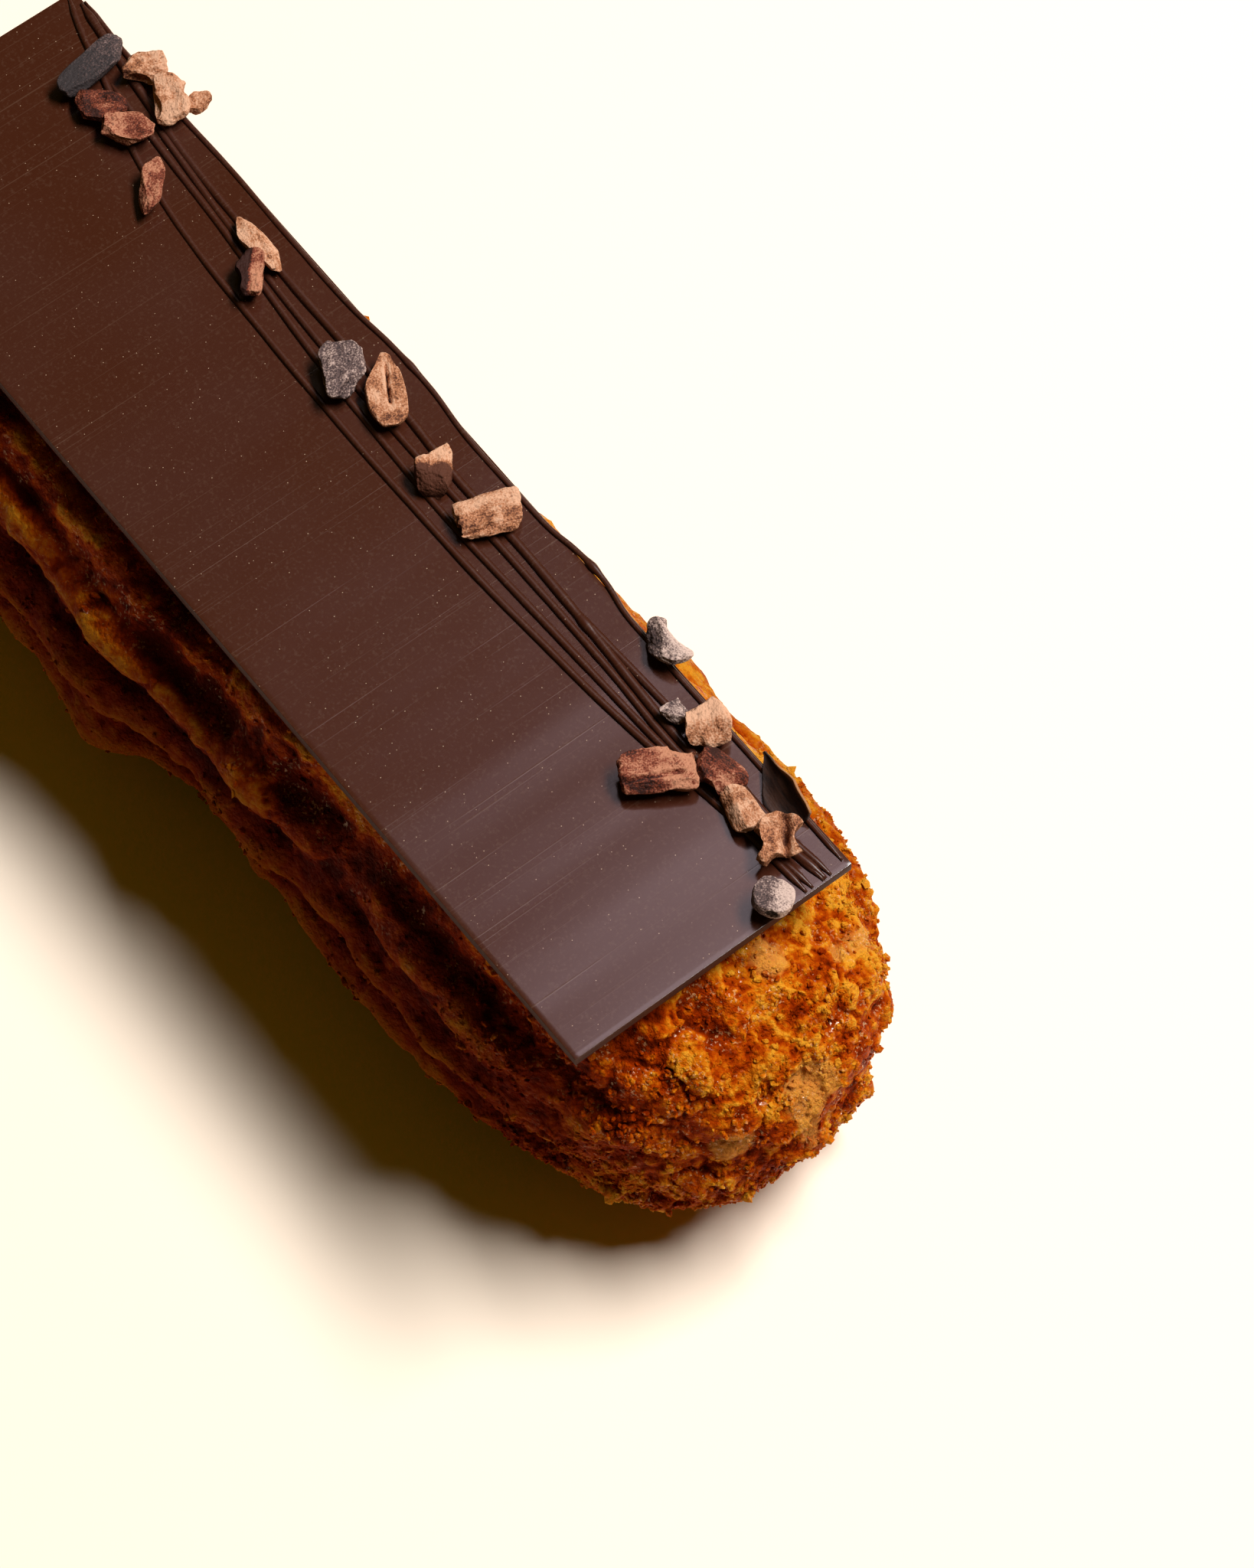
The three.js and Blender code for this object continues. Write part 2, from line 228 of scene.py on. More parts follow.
def set_values(mesh: bpy.types.Mesh, name: str, values: np.ndarray) -> None:
    """Stores one number for each vertex as a named attribute, which materials read."""
    attribute = mesh.attributes.new(name, "FLOAT", "POINT")
    attribute.data.foreach_set("value", values.astype(np.float32))


def smoothed(points: np.ndarray, edges: np.ndarray, rounds: int) -> np.ndarray:
    """Averages each vertex with its neighbours.

    Args:
        points: The vertices.
        edges: The edges, as rows of two vertex numbers.
        rounds: How many times to average.

    Returns:
        The smoothed places, in the same order.
    """
    count = len(points)
    ends = np.concatenate([edges[:, 0], edges[:, 1]])
    others = np.concatenate([edges[:, 1], edges[:, 0]])
    neighbours = np.maximum(np.bincount(ends, minlength=count), 1)[:, None]
    for _ in range(rounds):
        sums = [np.bincount(ends, points[others, axis], count) for axis in range(3)]
        points = (points + np.stack(sums, -1) / neighbours) / 2
    return points


def proudness(mesh: bpy.types.Mesh, rounds: int) -> np.ndarray:
    """Measures how far each vertex stands over the mesh's smoothed surface.

    Args:
        mesh: The mesh.
        rounds: How many times to smooth. More rounds see broader forms.

    Returns:
        Millimetres, above 0 on a ridge and below 0 in a hollow.
    """
    points = points_of(mesh)
    away = points - smoothed(points, read_rows(mesh.edges, "vertices", 2, np.int32), rounds)
    return np.einsum("ij,ij->i", away, normals_of(mesh))


@contextmanager
def edited(mesh: bpy.types.Mesh) -> Iterator[bmesh.types.BMesh]:
    """Opens a mesh for bmesh operators, and writes it back.

    Args:
        mesh: The mesh.

    Yields:
        The bmesh.
    """
    bm = bmesh.new()
    bm.from_mesh(mesh)
    bm.verts.ensure_lookup_table()
    yield bm
    bm.to_mesh(mesh)
    bm.free()


def new_object(name: str, data: bpy.types.ID) -> bpy.types.Object:
    """Puts a mesh, a light or a camera in the scene.

    Args:
        name: The object's name, which its data gets too.
        data: The mesh, the light or the camera.

    Returns:
        The object.
    """
    data.name = name
    made = bpy.data.objects.new(name, data)
    bpy.context.scene.collection.objects.link(made)
    return made


def from_bmesh(name: str, bm: bmesh.types.BMesh, place: Matrix) -> bpy.types.Object:
    """Turns a bmesh in millimetres into an object in metres.

    Args:
        name: The object's name.
        bm: The shape, which is freed.
        place: Where the shape's own frame lies, in millimetres.

    Returns:
        The object, smooth shaded, at the origin with its place in its mesh.
    """
    bmesh.ops.transform(bm, matrix=Matrix.Scale(MM, 4) @ place, verts=bm.verts)
    mesh = bpy.data.meshes.new(name)
    bm.to_mesh(mesh)
    bm.free()
    mesh.shade_smooth()
    return new_object(name, mesh)


def dress(
    piece: bpy.types.Object,
    material: bpy.types.Material,
    replaced: Iterable[str] = (),
) -> bpy.types.Object:
    """Gives a piece its finish and ties it to the frame.

    Args:
        piece: The piece.
        material: Its finish.
        replaced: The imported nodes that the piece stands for.

    Returns:
        The piece.
    """
    piece.data.materials.clear()
    piece.data.materials.append(material)
    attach(piece, "root")
    for node in replaced:
        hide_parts(node)
    log.info("%s: %d vertices, %d faces", piece.name, len(piece.data.vertices), len(piece.data.polygons))
    return piece


def sweep(bm: bmesh.types.BMesh, path: Sequence[Vector], radii: Sequence[float], sides: int) -> None:
    """Extrudes a circle along a path and closes its ends.

    Args:
        bm: The bmesh that gets the tube.
        path: The points that the tube's middle follows.
        radii: The tube's radius at each point.
        sides: How many sides the tube has.
    """
    stations = []
    for at, point in enumerate(path):
        along = path[min(at + 1, len(path) - 1)] - path[max(at - 1, 0)]
        turned = along.to_track_quat("Z", "Y").to_matrix().to_4x4()
        stations.append(Matrix.Translation(point) @ turned @ Matrix.Scale(radii[at], 4))
    ring = bmesh.ops.create_circle(bm, segments=sides, radius=1, matrix=stations[0])["verts"]
    edges = list({edge for vert in ring for edge in vert.link_edges})
    bmesh.ops.edgeloop_fill(bm, edges=edges)
    for before, after in itertools.pairwise(stations):
        drawn = bmesh.ops.extrude_edge_only(bm, edges=edges)["geom"]
        verts = [part for part in drawn if isinstance(part, bmesh.types.BMVert)]
        edges = [part for part in drawn if isinstance(part, bmesh.types.BMEdge)]
        bmesh.ops.transform(bm, matrix=after @ before.inverted(), verts=verts)
    bmesh.ops.edgeloop_fill(bm, edges=edges)
    bmesh.ops.recalc_face_normals(bm, faces=bm.faces)


# Materials


class Graph:
    """Adds nodes to a node tree, sets their values and joins them."""

    def __init__(self, tree: bpy.types.NodeTree) -> None:
        """Works on one node tree."""
        self.tree = tree

    def wire(self, node: bpy.types.Node, inputs: dict[str | int, Value]) -> None:
        """Sets or joins a node's sockets.

        Args:
            node: The node.
            inputs: A number, a colour or another node's output for each socket that isn't left alone.
        """
        for socket, value in inputs.items():
            if isinstance(value, bpy.types.NodeSocket):
                self.tree.links.new(value, node.inputs[socket])
            else:
                node.inputs[socket].default_value = value

    def node(self, kind: str, inputs: dict[str | int, Value] | None = None, **settings) -> bpy.types.Node:
        """Adds a node.

        Args:
            kind: The node's type.
            inputs: What its sockets get.
            **settings: The node's own settings.

        Returns:
            The node.
        """
        made = self.tree.nodes.new(kind)
        for name, setting in settings.items():
            setattr(made, name, setting)
        self.wire(made, inputs or {})
        return made

    def math(self, operation: str, a: Value, b: Value = 0.0, c: Value = 0.0) -> bpy.types.NodeSocket:
        """Works out a number from up to three."""
        return self.node("ShaderNodeMath", {0: a, 1: b, 2: c}, operation=operation).outputs[0]

    def add(self, start: Value, *parts: tuple[Value, Value]) -> bpy.types.NodeSocket:
        """Adds shares of some numbers to a first one.

        Args:
            start: The first number.
            *parts: Each number to add, and what it is multiplied by first.

        Returns:
            The sum's socket.
        """
        for value, share in parts:
            start = self.math("MULTIPLY_ADD", value, share, start)
        return start

    def centred(self, value: Value) -> bpy.types.NodeSocket:
        """Shifts a number that runs from 0 to 1, so that its middle is 0."""
        return self.math("SUBTRACT", value, 0.5)

    def mix(self, share: Value, a: Value, b: Value, blend: str = "MIX") -> bpy.types.NodeSocket:
        """Blends two colours.

        Args:
            share: How much of the second colour is taken, from 0 to 1.
            a: The first colour.
            b: The second colour.
            blend: How the second colour acts on the first.

        Returns:
            The colour's socket.
        """
        a, b = (value if isinstance(value, bpy.types.NodeSocket) else (*value, 1.0) for value in (a, b))
        made = self.node("ShaderNodeMix", {0: share, 6: a, 7: b}, data_type="RGBA", blend_type=blend)
        return made.outputs[2]

    def remap(self, value: Value, span: Span, onto: Span = (0.0, 1.0)) -> bpy.types.NodeSocket:
        """Maps a number smoothly from one span onto another, and holds it there.

        Args:
            value: The number.
            span: The span that it comes from.
            onto: The span that it goes to.

        Returns:
            The mapped number's socket.
        """
        ends = {"From Min": span[0], "From Max": span[1], "To Min": onto[0], "To Max": onto[1]}
        made = self.node("ShaderNodeMapRange", {"Value": value, **ends}, interpolation_type="SMOOTHSTEP")
        return made.outputs["Result"]

    def ramp(self, share: Value, stops: Sequence[tuple[float, Colour]]) -> bpy.types.NodeSocket:
        """Picks a colour from a row of them.

        Args:
            share: Where along the row.
            stops: Each colour with its place from 0 to 1, in order.

        Returns:
            The colour's socket.
        """
        made = self.node("ShaderNodeValToRGB", {"Fac": share})
        elements = made.color_ramp.elements
        while len(elements) < len(stops):
            elements.new(1.0)
        for element, (position, colour) in zip(elements, stops):
            element.position = position
            element.color = (*colour, 1.0)
        return made.outputs["Color"]

    def noise(self, vector: Value, size: float, detail: float = 2.0) -> bpy.types.NodeSocket:
        """Reads noise whose bumps are about `size` metres apart, from 0 to 1."""
        inputs = {"Vector": vector, "Scale": 1 / size, "Detail": detail}
        return self.node("ShaderNodeTexNoise", inputs).outputs["Fac"]

    def cells(self, vector: Value, scale: Value) -> tuple[bpy.types.NodeSocket, bpy.types.NodeSocket]:
        """Splits space into cells round scattered seeds.

        Args:
            vector: The place.
            scale: How many cells there are in a metre.

        Returns:
            The distance to the cell's seed, and a random number of the cell's own.
        """
        made = self.node("ShaderNodeTexVoronoi", {"Vector": vector, "Scale": scale}, feature="F1")
        own = self.node("ShaderNodeSeparateColor", {"Color": made.outputs["Color"]})
        return made.outputs["Distance"], own.outputs[0]

    def effect(self, group: bpy.types.NodeTree, vector: Value, size: float, **numbers: float
               ) -> bpy.types.NodeOutputs:
        """Reads an effect that several finishes share.

        Args:
            group: The effect's node group.
            vector: The place.
            size: The size of the effect's cells, in metres.
            **numbers: What the group's other inputs get.

        Returns:
            The effect's outputs.
        """
        inputs = {"Vector": vector, "Scale": 1 / size, **numbers}
        return self.node("ShaderNodeGroup", inputs, node_tree=group).outputs

    def attribute(self, name: str, output: str = "Fac") -> bpy.types.NodeSocket:
        """Reads a mesh attribute."""
        return self.node("ShaderNodeAttribute", attribute_name=name).outputs[output]

    def object_place(self) -> bpy.types.NodeSocket:
        """The surface's place in the object's own coordinates."""
        return self.node("ShaderNodeTexCoord").outputs["Object"]

    def drawn_out(self, vector: Value, share: float) -> bpy.types.NodeSocket:
        """Takes a share of a place's X, which draws a pattern out along X."""
        inputs = {"Vector": vector, "Scale": (share, 1.0, 1.0)}
        return self.node("ShaderNodeMapping", inputs).outputs["Vector"]

    def bump(self, height: Value, depth: float) -> bpy.types.NodeSocket:
        """Tilts the surface's normal by a height that is `depth` metres at 1."""
        inputs = {"Strength": 1.0, "Distance": depth, "Height": height}
        return self.node("ShaderNodeBump", inputs).outputs["Normal"]


def new_group(name: str, inputs: dict[str, float | None], outputs: Sequence[str]
              ) -> tuple[Graph, bpy.types.NodeOutputs, bpy.types.Node]:
    """Starts a shader node group.

    Args:
        name: The group's name.
        inputs: The names of its inputs with their numbers, or None for a vector.
        outputs: The names of its outputs, which are all numbers.

    Returns:
        The group's graph, the sockets that bring its inputs in, and the node that takes its outputs.
    """
    tree = bpy.data.node_groups.new(name, "ShaderNodeTree")
    for socket, value in inputs.items():
        kind = "NodeSocketVector" if value is None else "NodeSocketFloat"
        made = tree.interface.new_socket(socket, in_out="INPUT", socket_type=kind)
        if value is not None:
            made.default_value = value
    for socket in outputs:
        tree.interface.new_socket(socket, in_out="OUTPUT", socket_type="NodeSocketFloat")
    graph = Graph(tree)
    return graph, graph.node("NodeGroupInput").outputs, graph.node("NodeGroupOutput")


def grit_group() -> bpy.types.NodeTree:
    """Builds the group for a surface of fused grains.

    Returns:
        The group, which gives the grains' height and a shade for each.
    """
    graph, enter, leave = new_group("grit", {"Vector": None, "Scale": 1000.0}, ["Height", "Shade"])
    inputs = {"Vector": enter["Vector"], "Scale": enter["Scale"], "Detail": 4.0, "Roughness": 0.65}
    noise = graph.node("ShaderNodeTexNoise", inputs).outputs["Fac"]
    distance, own = graph.cells(enter["Vector"], enter["Scale"])
    dome = graph.math("SUBTRACT", 1.0, distance)
    graph.wire(leave, {
        "Height": graph.add(graph.math("MULTIPLY", dome, 0.6), (noise, 0.8)),
        "Shade": graph.add(graph.math("MULTIPLY", own, 0.5), (noise, 0.5)),
    })
    return graph.tree


def speck_group() -> bpy.types.NodeTree:
    """Builds the group for scattered specks.

    Returns:
        The group, which gives a mask that is 1 on them.
    """
    values = {"Vector": None, "Scale": 1000.0, "Size": 0.1, "Share": 0.5}
    graph, enter, leave = new_group("specks", values, ["Mask"])
    distance, own = graph.cells(enter["Vector"], enter["Scale"])
    near = graph.math("LESS_THAN", distance, enter["Size"])
    kept = graph.math("LESS_THAN", own, enter["Share"])
    graph.wire(leave, {"Mask": graph.math("MULTIPLY", near, kept)})
    return graph.tree


@dataclass(frozen=True)
class Effects:
    """The node groups that several finishes share."""

    grit: bpy.types.NodeTree
    specks: bpy.types.NodeTree

    @classmethod
    def build(cls) -> "Effects":
        """Builds the groups."""
        return cls(grit=grit_group(), specks=speck_group())


@dataclass(frozen=True)
class Finish(ABC):
    """A material. Sizes in every finish are in metres."""

    name: str

    @abstractmethod
    def sockets(self, graph: Graph) -> dict[str, Value]:
        """Adds the finish's nodes.

        Args:
            graph: The material's node tree.

        Returns:
            What the shader's sockets get.
        """

    def build(self) -> bpy.types.Material:
        """Builds the material.

        Returns:
            The material.
        """
        material = bpy.data.materials.new(self.name)
        material.use_nodes = True
        graph = Graph(material.node_tree)
        graph.wire(material.node_tree.nodes["Principled BSDF"], self.sockets(graph))
        return material


@dataclass(frozen=True)
class ChouxFinish(Finish):
    """Baked choux under its sandy crust.

    The mesh attribute "toast" runs from 0, honey gold, to 1, burnt. "bare" is 1 where the crust has
    flaked off and the pale choux shows, and "painted_shade" is 1 low on the flanks, where shade is
    painted: there the crust's colour is multiplied darker, its grain counts less, it is rougher and it
    gets no painted glints.

    Attributes:
        stops: Where along "toast" the five colours from honey to burnt lie.
        grainy: How much each grain's own shade counts in the crust's tone. hollow is the same for the
        gaps between the grains, which are darker as a deeper toast and painted shade; mottled for the
        small blotches and patchy for the broad ones.
        grain_span: The grains' shades that get the least and the most of the roughness.
        finer: How much finer the second grain is, and fine_share how much it counts.
        painted_shade_calmer: How much less all of these count where shade is painted.
        bare_patchy: How much the broad blotches break up the bare patches, and bare_mottled the small.
        crystal_span: The noise where a sugary crystal, partly a painted glint, starts and is full.
        cluster_span: The noise where a cluster of crystals starts and is full.
    """

    effects: Effects
    honey: Colour = (0.66, 0.262, 0.016)
    gold: Colour = (0.55, 0.140, 0.0035)
    amber: Colour = (0.41, 0.056, 0.0009)
    brown: Colour = (0.25, 0.0210, 0.0003)
    burnt: Colour = (0.090, 0.0065, 0.0001)
    stops: tuple[float, ...] = (0.0, 0.18, 0.42, 0.66, 1.0)
    cream: Colour = (0.58, 0.245, 0.044)
    # Pale sugary crystals, partly painted glints.
    sugar_and_glint: Colour = (0.74, 0.42, 0.19)
    # Painted shade: the colour is multiplied by this low on the flanks, where shade is painted.
    painted_shade_tint: Colour = (0.275, 0.165, 0.003)
    gloss: Colour = (1.0, 0.48, 0.12)
    sheen: float = 0.02
    glow: float = 0.2
    glow_reach: float = 0.0008
    glow_tint: Colour = (1.0, 0.28, 0.06)
    grain: float = 0.00042
    grain_level: float = 0.8
    grain_span: Span = (0.2, 0.9)
    roughness: Span = (0.16, 0.42)
    finer: float = 2.6
    fine_share: float = 0.35
    relief: float = 0.00034
    patch: float = 0.0034
    patch_stretch: float = 0.45
    mottle: float = 0.0015
    grainy: float = 0.4
    hollow: float = 0.28
    mottled: float = 1.5
    patchy: float = 1.7
    painted_shade_calmer: float = 0.6
    painted_shade_rougher: float = 0.5
    bare_patchy: float = 1.2
    bare_mottled: float = 1.0
    bare_span: Span = (0.2, 0.8)
    bare_most: float = 0.7
    crystal: float = 0.00032
    crystal_span: Span = (0.57, 0.65)
    crystal_most: float = 0.6
    crystal_rough: float = 0.2
    cluster: float = 0.0022
    cluster_span: Span = (0.48, 0.62)

    def sockets(self, graph: Graph) -> dict[str, Value]:
        """Adds the nodes of the crust's tone and painted shade, its bare patches, its sugary glints and its
        grain.

        Args:
            graph: The material's node tree.

        Returns:
            What the shader's sockets get.
        """
        place = graph.object_place()
        painted_shade = graph.attribute("painted_shade")
        grit = graph.effect(self.effects.grit, place, self.grain)
        fine = graph.effect(self.effects.grit, place, self.grain / self.finer)
        lengthwise = graph.drawn_out(place, self.patch_stretch)
        patch = graph.centred(graph.noise(lengthwise, self.patch, detail=5.0))
        mottle = graph.centred(graph.noise(place, self.mottle, detail=4.0))
        # The gaps between the grains are darker: a deeper toast and painted shade.
        crevice = graph.math("SUBTRACT", self.grain_level, grit["Height"])
        texture = graph.add(
            graph.math("MULTIPLY", mottle, self.mottled),
            (graph.centred(grit["Shade"]), self.grainy),
            (crevice, self.hollow),
            (patch, self.patchy),
        )
        crisp = graph.add(1.0, (painted_shade, -self.painted_shade_calmer))
        toast = graph.add(graph.attribute("toast"), (texture, crisp))
        row = (self.honey, self.gold, self.amber, self.brown, self.burnt)
        colour = graph.ramp(toast, list(zip(self.stops, row)))
        bare = graph.add(graph.attribute("bare"), (patch, -self.bare_patchy), (mottle, -self.bare_mottled))
        colour = graph.mix(graph.remap(bare, self.bare_span, (0.0, self.bare_most)), colour, self.cream)
        # Pale sugary crystals, partly painted glints, kept off the flanks where shade is painted; they also
        # weigh the coat.
        crystals = graph.remap(graph.noise(place, self.crystal), self.crystal_span, (0.0, self.crystal_most))
        clusters = graph.remap(graph.noise(place, self.cluster), self.cluster_span)
        clusters = graph.math("MULTIPLY", clusters, graph.math("SUBTRACT", 1.0, painted_shade))
        crystals = graph.math("MULTIPLY", crystals, clusters)
        colour = graph.mix(crystals, colour, self.sugar_and_glint)
        rough = graph.remap(grit["Shade"], self.grain_span, self.roughness)
        height = graph.add(grit["Height"], (fine["Height"], self.fine_share))
        return {
            # Painted shade: low on the flanks the colour is multiplied darker.
            "Base Color": graph.mix(painted_shade, colour, self.painted_shade_tint, "MULTIPLY"),
            "Roughness": graph.add(rough, (painted_shade, self.painted_shade_rougher)),
            "Normal": graph.bump(height, self.relief),
            "Specular IOR Level": self.sheen,
            "Specular Tint": (*self.gloss, 1.0),
            "Coat Weight": crystals,
            "Coat Roughness": self.crystal_rough,
            "Subsurface Weight": self.glow,
            "Subsurface Radius": self.glow_tint,
            "Subsurface Scale": self.glow_reach,
        }


@dataclass(frozen=True)
class ChocolateFinish(Finish):
    """Dark chocolate with the faint streaks of its mould, a little dust and soft clouds of bloom.

    Attributes:
        centre: The middle of the plaque's top.
        turn: How far the plaque is turned, in radians.
        streaks: How deep the streaks are, 1 for the plaque's top.
        dust_share: How many of the specks of dust are there.
        hairline: How far apart the fine streaks are along the plaque, and how long across it.
        hair_span: The noise where a fine streak starts and is full, and hair_dust where its dust does.
        band: The broad streaks' size, as for the fine ones.
    """

    effects: Effects
    centre: tuple[float, float, float]
    turn: float
    brown: Colour = (0.0415, 0.0098, 0.0040)
    bloom: Colour = (0.0435, 0.0118, 0.0062)
    dust: Colour = (0.36, 0.24, 0.16)
    roughness: float = 0.19
    cloud_rough: float = 0.06
    streaks: float = 1.0
    dust_share: float = 0.45
    sheen: float = 0.5
    hairline: tuple[float, float] = (0.00016, 0.035)
    hair_span: Span = (0.62, 0.80)
    hair_share: float = 0.5
    hair_dust: Span = (0.61, 0.80)
    hair_dusty: float = 0.08
    band: tuple[float, float] = (0.0011, 0.022)
    band_share: float = 0.4
    cloud: float = 0.019
    cloud_span: Span = (0.35, 0.68)
    speck: float = 0.0006
    speck_size: float = 0.075
    powder: float = 0.0003
    powder_span: Span = (0.5, 0.8)
    powder_most: float = 0.05
    grain: float = 0.0003
    grain_share: float = 0.35
    relief: float = 0.0000035

    def streaky(self, graph: Graph, place: Value, size: tuple[float, float], detail: float
                ) -> bpy.types.NodeSocket:
        """Reads noise that is drawn out across the plaque.

        Args:
            graph: The material's node tree.
            place: The surface's place.
            size: The noise's size along the plaque and across it.
            detail: How much finer detail it has.

        Returns:
            The noise's socket, from 0 to 1.
        """
        along, across = size
        turned = {"Location": self.centre, "Rotation": (0, 0, self.turn), "Scale": (along, across, along)}
        lain = graph.node("ShaderNodeMapping", {"Vector": place, **turned}, vector_type="TEXTURE")
        return graph.noise(lain.outputs["Vector"], 1.0, detail)

    def sockets(self, graph: Graph) -> dict[str, Value]:
        """Adds the nodes of the bloom, the streaks and the dust.

        Args:
            graph: The material's node tree.

        Returns:
            What the shader's sockets get.
        """
        place = graph.object_place()
        thin = self.streaky(graph, place, self.hairline, detail=1.0)
        broad = self.streaky(graph, place, self.band, detail=2.0)
        streak = graph.add(
            graph.math("MULTIPLY", broad, self.band_share),
            (graph.remap(thin, self.hair_span), self.hair_share),
        )
        cloud = graph.noise(place, self.cloud)
        colour = graph.mix(graph.remap(cloud, self.cloud_span), self.brown, self.bloom)
        hairs = graph.remap(thin, self.hair_dust, (0.0, self.hair_dusty))
        specks = graph.effect(
            self.effects.specks, place, self.speck, Size=self.speck_size, Share=self.dust_share
        )
        powder = graph.remap(graph.noise(place, self.powder), self.powder_span, (0.0, self.powder_most))
        for share in (hairs, specks["Mask"], powder):
            colour = graph.mix(share, colour, self.dust)
        grit = graph.effect(self.effects.grit, place, self.grain)
        grains = graph.math("MULTIPLY", grit["Height"], self.grain_share)
        return {
            "Base Color": colour,
            "Roughness": graph.add(self.roughness, (graph.centred(cloud), self.cloud_rough)),
            "Normal": graph.bump(graph.add(grains, (streak, self.streaks)), self.relief),
            "Specular IOR Level": self.sheen,
        }


@dataclass(frozen=True)
class NibFinish(Finish):
    """Broken cocoa nib: fibres, dark pores, pale broken edges and hollows painted darker as shade.

    The mesh attribute "own_place" is the place in the nib's own frame, so that the fibres run along
    each nib. "shade" is the nib's own lightness, and "edge" is above 0 on its broken edges, which are
    paler, and below 0 in its hollows, which are painted darker as shade.

    Attributes:
        stops: The lightness at which each of the colours dark, flesh and pale is full.
        fibrous: How much the fibres count in the tone, blotchy the blotches and grainy the grain.
        edge_level: The "edge" that is neither paler nor darker.
    """

    effects: Effects
    flesh: Colour
    pale: Colour
    dark: Colour
    stops: tuple[float, float, float] = (0.08, 0.5, 0.95)
    fibre: float = 0.00034
    fibre_stretch: float = 0.22
    fibrous: float = 0.5
    blotch: float = 0.0015
    blotchy: float = 1.3
    grain: float = 0.00016
    grainy: float = 1.6
    edge_level: float = 0.01
    # Broken edges are paler, and hollows, below the edge level, are painted darker as shade.
    edge_paler_hollow_shade: float = 3.5
    pore: float = 0.00062
    pore_size: float = 0.23
    pore_share: float = 0.35
    pore_darker: float = 0.45
    grit: float = 0.0003
    relief: float = 0.00013
    roughness: float = 0.75
    sheen: float = 0.2

    def sockets(self, graph: Graph) -> dict[str, Value]:
        """Adds the nodes of the nib's tone, its pores and its grain.

        Args:
            graph: The material's node tree.

        Returns:
            What the shader's sockets get.
        """
        own = graph.attribute("own_place", "Vector")
        fibres = graph.noise(graph.drawn_out(own, self.fibre_stretch), self.fibre, detail=3.0)
        # Paler broken edges, and hollows painted darker as shade.
        edge = graph.math("SUBTRACT", graph.attribute("edge"), self.edge_level)
        tone = graph.add(
            graph.attribute("shade"),
            (graph.centred(fibres), self.fibrous),
            (graph.centred(graph.noise(own, self.blotch)), self.blotchy),
            (graph.centred(graph.noise(own, self.grain)), self.grainy),
            (edge, self.edge_paler_hollow_shade),
        )
        colour = graph.ramp(tone, list(zip(self.stops, (self.dark, self.flesh, self.pale))))
        pores = graph.effect(self.effects.specks, own, self.pore, Size=self.pore_size, Share=self.pore_share)
        colour = graph.mix(graph.math("MULTIPLY", pores["Mask"], self.pore_darker), colour, self.dark)
        grit = graph.effect(self.effects.grit, own, self.grit)
        return {
            "Base Color": colour,
            "Roughness": self.roughness,
            "Normal": graph.bump(graph.math("ADD", grit["Height"], fibres), self.relief),
            "Specular IOR Level": self.sheen,
        }


@dataclass(frozen=True)
class HuskFinish(Finish):
    """Papery husk: dark brown, with fibres along it and an amber rim of painted light shining through it.

    The mesh attribute "own_place" is the place in the husk's own frame, and "backlit_rim" is 1 on
    one long rim, where light shining through it is painted amber.
    """

    effects: Effects
    dark: Colour = (0.010, 0.004, 0.003)
    warm: Colour = (0.036, 0.013, 0.007)
    # Painted light: the amber of light shining through the husk's thin rim.
    backlit_rim: Colour = (0.30, 0.13, 0.05)
    fibre: float = 0.0004
    fibre_stretch: float = 0.15
    fibre_span: Span = (0.3, 0.75)
    grit: float = 0.0003
    grit_share: float = 0.5
    relief: float = 0.00006
    roughness: float = 0.65
    sheen: float = 0.25

    def sockets(self, graph: Graph) -> dict[str, Value]:
        """Adds the nodes of the fibres, the margin and the grain.

        Args:
            graph: The material's node tree.

        Returns:
            What the shader's sockets get.
        """
        own = graph.attribute("own_place", "Vector")
        fibres = graph.noise(graph.drawn_out(own, self.fibre_stretch), self.fibre, detail=3.0)
        colour = graph.mix(graph.remap(fibres, self.fibre_span), self.dark, self.warm)
        grit = graph.effect(self.effects.grit, own, self.grit)
        return {
            # Painted light: the rim glows amber, as if lit through from behind.
            "Base Color": graph.mix(graph.attribute("backlit_rim"), colour, self.backlit_rim),
            "Roughness": self.roughness,
            "Normal": graph.bump(graph.add(fibres, (grit["Height"], self.grit_share)), self.relief),
            "Specular IOR Level": self.sheen,
        }


@dataclass(frozen=True)
class FloorFinish(Finish):
    """A pale, matt table top with faint, slightly darker clouds."""

    cream: Colour = (0.94, 0.79, 0.64)
    cloud: float = 0.15
    cloud_shade: float = 0.97
    roughness: float = 0.9
    sheen: float = 0.1

    def sockets(self, graph: Graph) -> dict[str, Value]:
        """Adds the nodes of the table's faint clouds.

        Args:
            graph: The material's node tree.

        Returns:
            What the shader's sockets get.
        """
        darker = tuple(self.cloud_shade * part for part in self.cream)
        clouds = graph.noise(graph.object_place(), self.cloud, detail=3.0)
        return {
            "Base Color": graph.mix(clouds, self.cream, darker),
            "Roughness": self.roughness,
            "Specular IOR Level": self.sheen,
        }


# The plaque's frame


